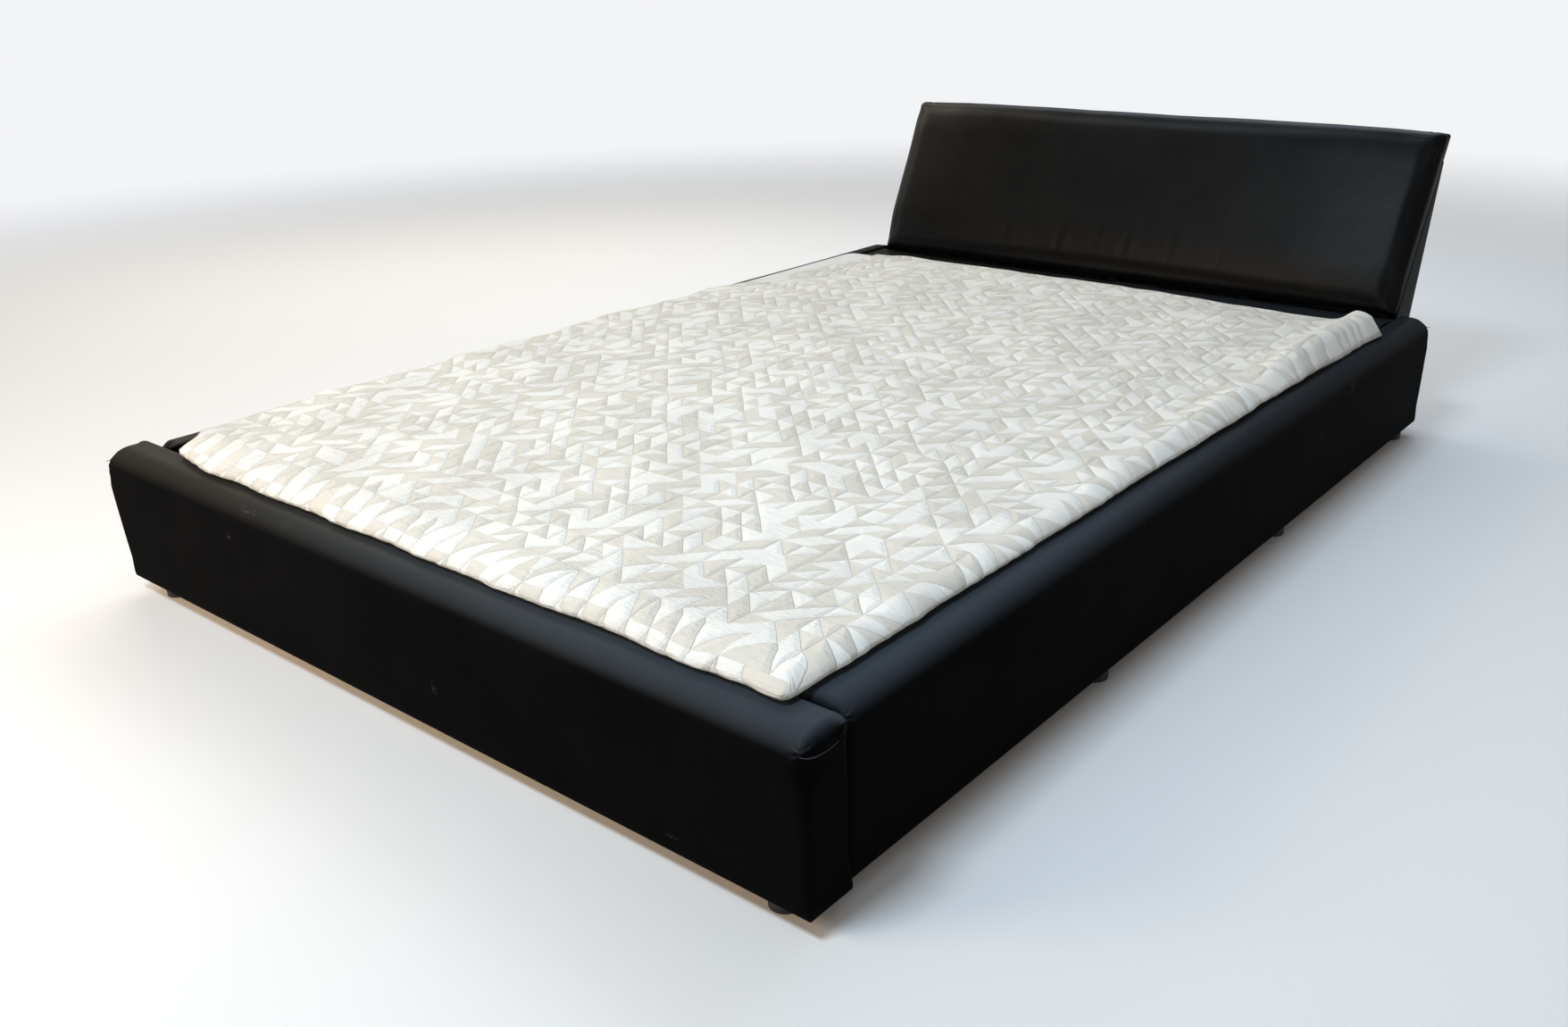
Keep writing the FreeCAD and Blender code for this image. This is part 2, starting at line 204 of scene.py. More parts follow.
# %% [markdown]
# ## Black leathercloth
# The bed is covered in satin black leathercloth: a vinyl skin with a very fine pebble grain on a
# knitted back. The grain is made of small cells, with a slower ripple under them where the
# skin lies over foam. Gloss changes a little from place to place, and handling leaves a few
# pale scuffs, so both are part of the finish.
# %% The leathercloth finish
def scuff(finish, place, middle, size, seed):
    """A rubbed patch: pale broken streaks that fade out from its middle."""
    away = finish.vectors("SUBTRACT", place, middle)
    distance = finish.length(finish.stretched(away, [1 / s for s in size]))
    streaks = finish.mottle(finish.stretched(away, (1.0, 1.0, 2.2)), 160 + seed, 4.0, 0.7)
    return finish.ramp(distance, 0.2, 1.0, 1.0, 0.0) * finish.ramp(streaks, 0.52, 0.62)


MATT_FADE = 0.035


def leathercloth(name, scuffs=(), gloss=1.085, matt_below=None):
    """Satin black skin; scuffs are (middle, size) pairs in metres, and gloss is the skin's IOR.
    Use has polished the cloth above the height matt_below, and it's duller under that. Faces
    that look up get a painted sheen: a paler colour in place of the light they reflect,
    strongest at the foot of the bed, warm on the left and cool on the right."""
    finish = Finish(name)
    place = finish.place()
    grain = finish.cells(place, 900.0, "SMOOTH_F1", 0.9)
    ripple = finish.mottle(place, 35.0, 3.0)
    wear = finish.mottle(place, 7.0, 4.0, 0.6)
    weave = finish.mottle(finish.stretched(place, (6.0, 60.0, 260.0)), 2.0, 2.0)
    marks = finish.ramp(wear, 0.86, 0.95)
    for seed, (middle, size) in enumerate(scuffs):
        marks = marks.larger(scuff(finish, place, middle, size, seed * 37))
    uneven = finish.ramp(wear, 0.3, 0.7)
    dark = finish.tint(uneven, (0.0012, 0.0012, 0.0013, 1), (0.0026, 0.0025, 0.0025, 1))
    # Painted sheen: faces that look up get a paler colour that stands in for reflected light. It is
    # strongest at the foot, warm on the left and cool on the right. The tint held in dust is this
    # painted sheen, not real dust.
    facing_up = finish.axes(finish.node("NewGeometry", output="Normal"))[2]
    x, y, z = finish.axes(place)
    painted_sheen = finish.ramp(facing_up, 0.36, 0.98) * finish.ramp(y, -1.2, 0.5, 1.0, 0.36)
    cool_sheen_side = finish.ramp(x, -0.7, 0.6)
    dust = finish.tint(cool_sheen_side, (0.026, 0.024, 0.019, 1), (0.035, 0.042, 0.051, 1))
    with_painted_sheen = finish.tint(painted_sheen * (0.85 + wear * 0.3), dark, dust)
    colour = finish.tint(marks * 0.6, with_painted_sheen, (0.085, 0.080, 0.074, 1))
    dull = 0.0
    if matt_below is not None:
        dull = finish.ramp(z, matt_below - MATT_FADE, matt_below, 0.34, 0.0)
    roughness = 0.36 + wear * 0.08 + weave * 0.05 + marks * 0.2 + dull
    height = grain * 0.00009 + ripple * 0.0005 + weave * 0.00016
    return finish.dress(colour, roughness, height, ior=gloss)


# %% [markdown]
# ## Meshes for upholstery
# A padded board is a block whose edges have been rolled. The block is cut into small squares,
# closer together near its ends where the seams are. Every point is then pulled onto a rounded
# shape, and its outward direction is kept, so that later steps can raise a crown, sink a
# seam or pinch a gather along it. A rounded primitive has no points where the seams go.
# %% Cut a block into squares
def graded(low, high, fine, coarse, reach):
    """Positions from low to high, close together within reach of both ends."""
    edge = np.arange(0, reach, fine)
    count = max(1, math.ceil((high - low - 2 * reach) / coarse))
    middle = np.linspace(low + reach, high - reach, count + 1)
    return np.concatenate([low + edge, middle, (high - edge)[::-1]])


def block(xs, ys, zs):
    """The points and four-sided faces of a block's six sides, cut at these positions."""
    cuts = (xs, ys, zs)
    index, faces = {}, []
    for axis in range(3):
        across, along = (axis + 1) % 3, (axis + 2) % 3
        for end in (0, len(cuts[axis]) - 1):
            for a in range(len(cuts[across]) - 1):
                for b in range(len(cuts[along]) - 1):
                    ring = []
                    for step_a, step_b in ((0, 0), (1, 0), (1, 1), (0, 1)):
                        cell = [end, end, end]
                        cell[across] = a + step_a
                        cell[along] = b + step_b
                        ring.append(index.setdefault(tuple(cell), len(index)))
                    faces.append(ring if end else ring[::-1])
    cells = np.array(list(index))
    points = np.stack([np.asarray(cuts[i])[cells[:, i]] for i in range(3)], axis=1)
    return points, faces


def unit(vectors):
    return vectors / np.maximum(np.linalg.norm(vectors, axis=1, keepdims=True), 1e-9)


def roll_edges(points, low, high, reach, split=None):
    """Pulls a block's points in round its edges, by a reach for each point and direction. The
    low sides' rolls end at split. Gives the points and their outward directions."""
    low, high = np.array(low), np.array(high)
    split = (low + high) / 2 if split is None else split
    from_low, from_high = np.maximum(points, low + reach), np.minimum(points, high - reach)
    inner = np.where(points < split, from_low, from_high)
    share = unit((points - inner) / reach)
    return inner + share * reach, unit(share / reach)


# %% Small helpers for shapes
def ease(value, low, high):
    """0 below low, 1 above high, smooth between."""
    share = np.clip((np.asarray(value, float) - low) / (high - low), 0, 1)
    return share * share * (3 - 2 * share)


def bell(distance, width):
    return np.exp(-(np.asarray(distance) / width) ** 2)


def drift(points, scale, seed=0.0):
    """Slow smooth noise from -1 to 1 at each point; scale is features per metre."""
    shift = Vector((seed, seed * 0.7, seed * 1.3))
    return np.array([noise.noise(Vector(p) * scale + shift) for p in points])


def make_piece(name, points, faces, finish):
    """A smooth mesh object with one material."""
    mesh = bpy.data.meshes.new(name)
    mesh.from_pydata([tuple(p) for p in points], [], [tuple(f) for f in faces])
    mesh.validate()
    mesh.shade_smooth()
    mesh.materials.append(finish)
    piece = bpy.data.objects.new(name, mesh)
    bpy.context.scene.collection.objects.link(piece)
    return piece


def grid_faces(rows, columns):
    """The four-sided faces of a grid of points, which are listed row by row."""
    return [[r * columns + c, r * columns + c + 1, (r + 1) * columns + c + 1, (r + 1) * columns + c]
            for r in range(rows - 1) for c in range(columns - 1)]


def grid_rim(rows, columns):
    """The numbers of a grid's edge points, in order round it."""
    rim = list(range(columns)) + [r * columns + columns - 1 for r in range(1, rows)]
    rim += [(rows - 1) * columns + c for c in range(columns - 2, -1, -1)]
    return rim + [r * columns for r in range(rows - 2, 0, -1)]


def read_rows(items, field, width=3, kind=np.float64):
    """One field of every vertex, normal or edge of a mesh, as the rows of an array."""
    values = np.empty(len(items) * width, dtype=kind)
    items.foreach_get(field, values)
    return values.reshape(-1, width)


def node_span(node):
    """A CAD node's lowest and highest corners, as arrays."""
    return (np.array(corner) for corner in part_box(node))


# %% [markdown]
# ## The four padded panels
# Each panel is a hollow box of particle board with foam glued round it and one piece of
# leathercloth pulled over and stapled underneath. The cloth is pulled down over each end and sewn to
# a flat end piece, along a seam that sags a little. Above that seam the spare cloth is eased
# into short gathers, and it is pinched where the seam meets the corner.
# %% How a panel's cover lies
OUTER_ROLL = (0.050, 0.044)
INNER_ROLL = (0.010, 0.010)
FLAT_SHARE = 0.30
ROLL_END = 0.025
CORNER = 0.017
UNDER = 0.005
SEAM_DROP = 0.021
SEAM_SAG = 0.009
SEAM_ZONE = 0.075
GATHER_PITCH = 0.0062
CROWN = 0.0016
PULLED_IN = 0.0024


def panel_reach(points, low, high, along, across, outer_side):
    """How far the edges are rolled in each direction: little below, a lot on the outer top."""
    share = (points[:, across] - low[across]) / (high[across] - low[across])
    share = share if outer_side > 0 else 1 - share
    wide = np.where(share < FLAT_SHARE, INNER_ROLL[0], OUTER_ROLL[0])
    outer = ease(share, FLAT_SHARE / 2, FLAT_SHARE)
    tall = INNER_ROLL[1] + (OUTER_ROLL[1] - INNER_ROLL[1]) * outer
    height = points[:, 2]
    base = UNDER + (CORNER - UNDER) * ease(height, low[2] + UNDER, low[2] + 0.05)
    crest = ease(height, high[2] - tall - 0.030, high[2] - tall)
    reach = np.zeros((len(points), 3))
    reach[:, along] = base + (ROLL_END - CORNER) * crest
    reach[:, across] = base + (wide - base) * crest
    reach[:, 2] = base + (tall - base) * crest
    return reach


def seam_height(share, top):
    """The height of an end seam, from one side of the panel (0) to the other (1)."""
    return top - SEAM_DROP - SEAM_SAG * 4 * share * (1 - share)


def end_relief(points, low, high, along, across, end):
    """How far the cover stands out near one end: the seam, its fold and the gathers."""
    plane = high[along] if end > 0 else low[along]
    depth = np.abs(plane - points[:, along])
    share = (points[:, across] - low[across]) / (high[across] - low[across])
    above = points[:, 2] - seam_height(share, high[2])
    near = 1 - ease(depth, 0.004, 0.016)
    groove = -0.0016 * bell(above, 0.0016) + 0.0009 * bell(above + 0.0035, 0.0025)
    beat = share * (high[across] - low[across]) / GATHER_PITCH
    pleat = np.sin(2 * np.pi * (beat + 0.35 * np.sin(beat * 1.7)))
    gather = 0.0010 * pleat * ease(above, 0.0, 0.003) * np.exp(-np.maximum(above, 0) / 0.012)
    return near * (groove + gather * (1 - ease(depth, 0.008, 0.03)))


def pinch(points, low, high, along, across, end, side):
    """The dimple where an end seam meets the outer corner, with creases running from it."""
    plane = high[along] if end > 0 else low[along]
    edge = high[across] if side > 0 else low[across]
    spot = np.zeros(3)
    spot[along] = plane - end * 0.006
    spot[across] = edge - side * 0.005
    spot[2] = seam_height(0.0, high[2]) - 0.001
    offset = points - spot
    distance = np.linalg.norm(offset, axis=1)
    angle = np.arctan2(offset[:, 2], offset[:, along] + offset[:, across])
    creases = 0.0006 * np.sin(angle * 9) * bell(distance - 0.012, 0.009)
    return creases - 0.0022 * bell(distance, 0.0042) + 0.0012 * bell(distance - 0.010, 0.005)


# %% Build the panel covers
def panel_cover(name, node, finish, along, seam_ends, outer_side):
    """The skin of one padded panel, in the space that its CAD cover holds."""
    low, high = node_span(node)
    across = 1 - along
    cuts = [None, None, None]
    cuts[along] = graded(low[along], high[along], 0.0026, 0.016, 0.045)
    cuts[across] = graded(low[across], high[across], 0.0030, 0.0040, 0.030)
    seam_zone = high[2] - SEAM_ZONE
    cuts[2] = np.concatenate([np.linspace(low[2], seam_zone, 18)[:-1],
                              np.linspace(seam_zone, high[2], 30)])
    points, faces = block(*cuts)
    reach = panel_reach(points, low, high, along, across, outer_side)
    split = (low + high) / 2
    split[across] += outer_side * (FLAT_SHARE - 0.5) * (high[across] - low[across])
    skin, outward = roll_edges(points, low, high, reach, split)
    sag = drift(skin, 3.0, seed=len(name)) * 0.0016 + drift(skin, 11.0, seed=2.0) * 0.0004
    facing = np.abs(outward[:, across])
    middle = (skin[:, 2] - low[2]) / (high[2] - low[2])
    crown = CROWN * np.sin(np.pi * np.clip(middle, 0, 1)) * facing
    relief = crown + sag * ease(middle, 0.0, 0.2) - PULLED_IN
    for end in seam_ends:
        relief += end_relief(skin, low, high, along, across, end)
        relief += pinch(skin, low, high, along, across, end, outer_side)
    piece = make_piece(name, skin + outward * relief[:, None], faces, finish)
    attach(piece, "frame")
    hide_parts(node, node.replace("_cover", "_foam"))
    print(name, "has", len(faces), "squares and stands", round(high[2], 3), "m high")


POLISHED = 0.012
foot_low, foot_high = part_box("footboard_cover")
foot_scuffs = [
    ((-0.364, foot_low.y + 0.014, foot_high.z - 0.009), (0.034, 0.02, 0.014)),
    ((-0.250, foot_low.y + 0.016, foot_high.z - 0.007), (0.026, 0.02, 0.012)),
    ((-0.418, foot_low.y, foot_high.z - 0.064), (0.012, 0.02, 0.012)),
    ((0.618, foot_low.y, foot_low.z + 0.029), (0.020, 0.02, 0.004)),
    ((0.123, foot_low.y, foot_low.z + 0.085), (0.010, 0.02, 0.020)),
]
foot_matt = foot_high.z - POLISHED
footboard_cloth = leathercloth("leathercloth_footboard", foot_scuffs, matt_below=foot_matt)
panel_cover("footboard_skin", "footboard_cover", footboard_cloth, 0, (-1, 1), -1)

rail_low, rail_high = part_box("right_rail_cover")
rail_scuffs = [
    ((rail_high.x, 0.704, rail_high.z - 0.012), (0.02, 0.030, 0.010)),
    ((rail_high.x, 0.560, rail_high.z - 0.040), (0.02, 0.030, 0.020)),
    ((rail_high.x, 0.402, rail_low.z + 0.154), (0.02, 0.016, 0.018)),
    ((rail_high.x - 0.005, -1.112, rail_high.z), (0.006, 0.012, 0.006)),
]
rail_matt = rail_high.z - POLISHED
rail_cloth = leathercloth("leathercloth_rails", rail_scuffs, matt_below=rail_matt)
panel_cover("right_rail_skin", "right_rail_cover", rail_cloth, 1, (-1, 1), 1)
panel_cover("left_rail_skin", "left_rail_cover", rail_cloth, 1, (-1, 1), -1)

# %% [markdown]
# ## Seam threads
# The end seams are closed with a doubled bonded thread that stands a little above the cloth and
# catches the light. It could be painted on, but a thin tube laid along the seam keeps its
# edge from every side.
# %% Sew the end seams
def thread_finish():
    finish = Finish("bonded_thread")
    place = finish.place()
    twist = finish.mottle(finish.stretched(place, (900.0, 900.0, 2200.0)), 1.0, 1.0)
    colour = finish.tint(twist, (0.006, 0.006, 0.007, 1), (0.020, 0.020, 0.022, 1))
    return finish.dress(colour, 0.45 + twist * 0.2, twist * 0.0002)


def lay_thread(name, runs, radius, finish):
    """Tubes along runs of points, as one curve object."""
    curve = bpy.data.curves.new(name, "CURVE")
    curve.dimensions = "3D"
    curve.bevel_depth = radius
    curve.bevel_resolution = 2
    for run in runs:
        spline = curve.splines.new("POLY")
        spline.points.add(len(run) - 1)
        for point, place in zip(spline.points, run):
            point.co = (*place, 1.0)
    curve.materials.append(finish)
    piece = bpy.data.objects.new(name, curve)
    bpy.context.scene.collection.objects.link(piece)
    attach(piece, "frame")


def end_seam_run(node, along, end):
    """Points along an end seam, from corner to corner."""
    low, high = node_span(node)
    across = 1 - along
    shares = np.linspace(0.07, 0.93, 24)
    run = np.zeros((len(shares), 3))
    run[:, across] = low[across] + shares * (high[across] - low[across])
    run[:, 2] = seam_height(shares, high[2])
    edge = np.minimum(shares, 1 - shares) * (high[across] - low[across])
    slip = np.maximum(CORNER + 0.004 - edge, 0)
    depth = CORNER - np.sqrt(np.maximum(CORNER ** 2 - slip ** 2, 0)) + 0.0036
    plane = high[along] if end > 0 else low[along]
    run[:, along] = plane - end * depth
    return run


THREAD_RADIUS = 0.0006
thread = thread_finish()
seam_runs = [end_seam_run("footboard_cover", 0, end) for end in (-1, 1)]
for rail in ("left_rail_cover", "right_rail_cover"):
    seam_runs += [end_seam_run(rail, 1, end) for end in (-1, 1)]
lay_thread("end_seam_threads", seam_runs, THREAD_RADIUS, thread)
print("sewed", len(seam_runs), "end seams")

# %% [markdown]
# ## The padded ledge at the head
# Between the mattress and the headboard is a dark padded ledge. It runs in under the headboard's
# foot, where its cloth is tucked away, so its back edge is sharp and its front edge is
# rolled. It's the same kind of block as the panels, with a shallow dip along it.
# %% Build the ledge
TUCK = 0.046
ledge_low, ledge_high = node_span("head_rail_cover")
ledge_cuts = (graded(ledge_low[0], ledge_high[0], 0.006, 0.02, 0.03),
              graded(ledge_low[1], ledge_high[1], 0.004, 0.006, 0.03),
              graded(ledge_low[2], ledge_high[2], 0.004, 0.02, 0.03))
ledge_points, ledge_faces = block(*ledge_cuts)
forward = 1 - ease(ledge_points[:, 1], ledge_low[1] + 0.03, ledge_low[1] + 0.06)
upper_part = ease(ledge_points[:, 2], ledge_low[2] + 0.1, ledge_high[2] - 0.03)
ledge_radius = 0.003 + 0.018 * forward * upper_part
ledge_skin, ledge_out = roll_edges(ledge_points, ledge_low, ledge_high, ledge_radius[:, None])
ledge_top = ease(ledge_skin[:, 2], ledge_high[2] - 0.012, ledge_high[2] - 0.002)
ledge_dip = -0.002 + drift(ledge_skin, 4.0, 5.0) * 0.0015 - 0.0015 * ledge_top
ledge_skin = ledge_skin + ledge_out * ledge_dip[:, None]
tucked = ease(ledge_points[:, 1], ledge_high[1] - 0.008, ledge_high[1])
tucked = tucked * ease(ledge_points[:, 2], ledge_high[2] - 0.011, ledge_high[2] - 0.006)
ledge_skin[:, 1] += TUCK * tucked
plain_cloth = leathercloth("leathercloth_plain")
ledge = make_piece("head_ledge_skin", ledge_skin, ledge_faces, plain_cloth)
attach(ledge, "frame")
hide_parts("head_rail_cover", "head_rail_foam")
print("the ledge is", round(ledge_high[1] - ledge_low[1], 3), "m deep")

# %% [markdown]
# ## The headboard pad
# The pad is a sheet of foam on a plywood panel, wrapped in one piece of leathercloth that's pulled
# round all four edges and stapled behind. Foam pushes out against the cloth, most in the
# middle, least at the edges. A cloth simulation finds that shape by itself: the back and the
# sides are pinned, the air inside presses outward, and the cloth of the front holds it in.
# %% The pad's own directions
LEAN = math.radians(26)
PAD_THICK = 0.060
pad_low, pad_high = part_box("headboard_cover")
pad_foot = Vector((0, pad_low.y, pad_low.z + PAD_THICK * math.sin(LEAN)))
pad_half = pad_high.x
pad_height = (pad_high.z - pad_foot.z) / math.cos(LEAN)


def from_pad(points):
    """Pad points (across, depth, up the pad) as points on the bed."""
    across, depth, up = points[:, 0], points[:, 1], points[:, 2]
    back = pad_foot.y + depth * math.cos(LEAN) + up * math.sin(LEAN)
    rise = pad_foot.z - depth * math.sin(LEAN) + up * math.cos(LEAN)
    return np.stack([across, back, rise], axis=1)


print("the pad is", round(2 * pad_half, 3), "by", round(pad_height, 3), "m")

# %% Shape the pad before it swells
PAD_LOW = np.array([-pad_half - 0.003, 0.002, 0.0015])
PAD_HIGH = np.array([pad_half + 0.003, PAD_THICK - 0.0008, pad_height + 0.018])
PAD_ROLL = np.array([0.022, 0.016, 0.012])
pad_cuts = (graded(PAD_LOW[0], PAD_HIGH[0], 0.005, 0.011, 0.05),
            graded(PAD_LOW[1], PAD_HIGH[1], 0.005, 0.006, 0.012),
            graded(PAD_LOW[2], PAD_HIGH[2], 0.005, 0.011, 0.05))
pad_points, pad_faces = block(*pad_cuts)
front = 1 - ease(pad_points[:, 1], PAD_LOW[1] + 0.016, PAD_HIGH[1] - 0.002)
pad_flat, pad_out = roll_edges(pad_points, PAD_LOW, PAD_HIGH, 0.003 + front[:, None] * PAD_ROLL)
pad_flat[:, 1] += 0.024 * front * ease(np.abs(pad_flat[:, 0]), 0.46, 0.95)
pad_flat[:, 1] += 0.013 * front * ease(-pad_flat[:, 2], -0.13, 0.02)
pad_flat[:, 1] += 0.004 * front * ease(pad_flat[:, 2], pad_height - 0.07, pad_height + 0.01)
pad_cloth = leathercloth("leathercloth_headboard", gloss=1.22)
pad = make_piece("headboard_pad", from_pad(pad_flat), pad_faces, pad_cloth)
print("the pad starts with", len(pad_points), "points")

# %% Let the foam swell
SWELL_CAP = 0.007
SWELL_FRAMES = 20
SWELL_PRESSURE = 4.0
EVENING_ROUNDS = 14


def evened(piece, values, rounds):
    """Values at a mesh's points, averaged with their neighbours' again and again."""
    pairs = read_rows(piece.data.edges, "vertices", 2, np.int64)
    first, second = pairs.T
    count = np.bincount(pairs.ravel(), minlength=len(values))[:, None] + 1
    for _ in range(rounds):
        total = values.copy()
        np.add.at(total, first, values[second])
        np.add.at(total, second, values[first])
        values = total / count
    return values


def swell(piece, pinned, frames, pressure, cap):
    """Blows a cover up with the cloth solver, and keeps each point within cap of its start."""
    start = read_rows(piece.data.vertices, "co")
    group = piece.vertex_groups.new(name="stapled")
    group.add([int(i) for i in np.nonzero(pinned)[0]], 1.0, "REPLACE")
    step = piece.modifiers.new("cloth", "CLOTH")
    cloth_settings = {"quality": 6, "mass": 0.4, "tension_stiffness": 18, "compression_stiffness": 12,
                      "bending_stiffness": 6.0, "use_pressure": True,
                      "uniform_pressure_force": pressure, "vertex_group_mass": "stapled"}
    for setting, value in cloth_settings.items():
        setattr(step.settings, setting, value)
    step.settings.effector_weights.gravity = 0
    step.point_cache.frame_start = 1
    step.point_cache.frame_end = frames
    for frame_number in range(1, frames + 1):
        bpy.context.scene.frame_set(frame_number)
    posed = piece.evaluated_get(bpy.context.evaluated_depsgraph_get())
    travel = read_rows(posed.data.vertices, "co") - start
    length = np.linalg.norm(travel, axis=1, keepdims=True)
    travel *= np.minimum(1, cap / np.maximum(length, 1e-9))
    piece.modifiers.remove(step)
    piece.vertex_groups.remove(group)
    bpy.context.scene.frame_set(1)
    print(piece.name, "swelled by up to", round(float(length.max()) * 1000, 1), "mm")
    return start + evened(piece, travel, EVENING_ROUNDS)


pad_now = swell(pad, pad_out[:, 1] > -0.2, SWELL_FRAMES, SWELL_PRESSURE, SWELL_CAP)
print("the pad's front is at", round(float(pad_now[:, 1].min()), 4))

# %% [markdown]
# Once the foam has swelled, the marks that hands and time leave go on top: short upright creases
# low in the middle where backs have leaned, and little pulls that fan out from the corners.
# %% Crease the pad and fix its shape
def set_points(piece, points):
    piece.data.vertices.foreach_set("co", np.asarray(points, float).ravel())
    piece.data.update()


set_points(pad, pad_now)
across, up = pad_flat[:, 0], pad_flat[:, 2]
crease = np.zeros(len(pad_flat))
PAD_CREASES = ((-0.33, 0.10, 1.2), (-0.25, 0.13, 0.9), (-0.16, 0.09, 1.3), (-0.05, 0.11, 0.8),
               (0.04, 0.08, 1.2), (0.17, 0.10, 0.7), (0.31, 0.07, 0.6))
for middle, tall, deep in PAD_CREASES:
    lean = middle + 0.12 * (up - 0.1)
    crease -= 0.0011 * deep * bell(across - lean, 0.008) * bell(up - tall, 0.05)
    crease += 0.0008 * deep * bell(across - lean - 0.016, 0.010) * bell(up - tall, 0.05)
for side in (-1, 1):
    for top in (0, 1):
        from_side = np.hypot(across - side * pad_half, up - top * pad_height)
        angle = np.arctan2(up - top * pad_height, across - side * pad_half)
        crease += 0.0009 * np.sin(angle * 26) * bell(from_side - 0.035, 0.025)
crease += drift(pad_flat, 5.0, 3.0) * 0.0016 + drift(pad_flat, 14.0, 8.0) * 0.0004
outward = read_rows(pad.data.vertex_normals, "vector")
set_points(pad, pad_now + outward * (crease * front)[:, None])
smooth = pad.modifiers.new("smooth", "SUBSURF")
smooth.levels = smooth.render_levels = 1
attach(pad, "frame")
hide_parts("headboard_cover", "headboard_foam")

# %% [markdown]
# ## The headboard's wedge sides and back
# Under the pad, each end is closed by a thin wedge covered in the same cloth. The back is closed
# with black lining cloth, pulled fairly tight and stapled along its edges, as
# upholsterers do where only a wall will see it.
# %% Cover the wedge sides
def along_line(corners, share):
    """Points spaced evenly along a bent line of corners."""
    corners = np.array(corners)
    steps = np.linalg.norm(np.diff(corners, axis=0), axis=1)
    lengths = np.concatenate([[0], np.cumsum(steps)])
    at = share * lengths[-1]
    return np.stack([np.interp(at, lengths, corners[:, i]) for i in range(2)], axis=1)


wedge_low, wedge_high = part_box("headboard_right_cover")
WEDGE_FRONT = ((1.005, 0.040), (1.005, 0.272), (1.059, 0.2737), (1.2277, 0.6197))
WEDGE_BACK = ((1.134, 0.040), (1.2337, 0.6177))
WEDGE_SKIN = 0.0016
WEDGE_TUCK = 0.018
ROWS, COLUMNS = 90, 16


def wedge_side(side):
    """A thin crowned skin on one end of the headboard."""
    share = np.linspace(0, 1, ROWS)
    fronts = along_line(WEDGE_FRONT, share)
    backs = along_line(WEDGE_BACK, share)
    points = []
    for layer in (0, 1):
        for row in range(ROWS):
            for column in range(COLUMNS):
                t = max(column - 1, 0) / (COLUMNS - 2)
                y, z = fronts[row] * (1 - t) + backs[row] * t
                puff = min(t, 1 - t, row / ROWS * 3, (1 - row / ROWS) * 3)
                out = wedge_high.x - 0.0008 + 0.0006 * float(ease(puff, 0, 0.2)) - layer * WEDGE_SKIN
                if column == 0:
                    out -= WEDGE_TUCK
                if column < 2:
                    y -= 0.0012
                    z += 0.0006
                points.append((side * out, y, z))
    count = ROWS * COLUMNS
    faces = grid_faces(ROWS, COLUMNS)
    faces += [[i + count for i in ring[::-1]] for ring in faces]
    rim = grid_rim(ROWS, COLUMNS)
    faces += [[a, a + count, b + count, b] for a, b in zip(rim, rim[1:] + rim[:1])]
    if side < 0:
        faces = [ring[::-1] for ring in faces]
    word = "right" if side > 0 else "left"
    piece = make_piece("headboard_" + word + "_side", points, faces, plain_cloth)
    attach(piece, "frame")
    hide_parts("headboard_" + word + "_cover")


for side in (-1, 1):
    wedge_side(side)
print("each wedge side is", round(wedge_high.z - wedge_low.z, 3), "m tall")

# %% Line the back
def lining_finish():
    """Thin black non-woven cloth: matted fibres pressed with a fine dimple pattern."""
    finish = Finish("lining_cloth")
    place = finish.place()
    fibres = finish.mottle(finish.stretched(place, (1.0, 1.0, 0.6)), 900.0, 4.0, 0.7)
    dimples = finish.cells(place, 420.0, randomness=0.15)
    colour = finish.tint(fibres, (0.012, 0.012, 0.013, 1), (0.035, 0.035, 0.036, 1))
    return finish.dress(colour, 0.85 + fibres * 0.1, dimples * 0.0002 + fibres * 0.0001)


LINING_PROUD = 0.0022
LINING_SINK = 0.003
back_low, back_high = node_span("headboard_back_cloth")
lining = lining_finish()
stud_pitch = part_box("headboard_studs")[1].x - 0.009
LINING_ACROSS, LINING_UP = 120, 50
lining_points = []
for row in range(LINING_UP):
    share = row / (LINING_UP - 1)
    for column in range(LINING_ACROSS):
        x = back_low[0] + (back_high[0] - back_low[0]) * column / (LINING_ACROSS - 1)
        edge = math.sin(math.pi * share) * math.sin(math.pi * column / (LINING_ACROSS - 1))
        ripple = 0.0006 * math.sin(column * 1.3) * (1 - edge)
        sink = LINING_SINK * edge * math.sin(math.pi * x / stud_pitch) ** 2
        y = back_low[1] + 0.0005 + (back_high[1] - back_low[1] - 0.0015) * share
        z = back_low[2] + (back_high[2] - back_low[2]) * share
        lining_points.append((x, y + ripple + LINING_PROUD - sink, z))
lining_faces = [[a, d, c, b] for a, b, c, d in grid_faces(LINING_UP, LINING_ACROSS)]
back_lining = make_piece("back_lining", lining_points, lining_faces, lining)
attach(back_lining, "frame")
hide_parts("headboard_back_cloth")

# %% [markdown]
# ## The mattress
# Under the quilt is a spring mattress in striped ticking. It shows only when it's lifted out, but
# then all its sides show: the taped edges, the border between them and the rounded corners.
# The shape is a stack of rounded outlines, each a little larger or smaller than the last.
# %% Stack the mattress's outlines
CORNER_POINTS = 26
SIDE_PARTS = 60


def outline(half_wide, low_y, high_y, corner, height):
    """A rounded rectangle of points at one height."""
    arcs = []
    for number, (side, end) in enumerate(((1, -1), (1, 1), (-1, 1), (-1, -1))):
        middle = (side * (half_wide - corner), high_y - corner if end > 0 else low_y + corner)
        angles = np.radians(90 * (number - 1) + np.linspace(0, 90, CORNER_POINTS))
        arcs.append(middle + corner * np.column_stack([np.cos(angles), np.sin(angles)]))
    shares = np.arange(1, SIDE_PARTS)[:, None] / SIDE_PARTS
    points = []
    for arc, following in zip(arcs, arcs[1:] + arcs[:1]):
        points += [arc, arc[-1] + (following[0] - arc[-1]) * shares]
    ring = np.concatenate(points)
    return np.column_stack([ring, np.full(len(ring), height)])


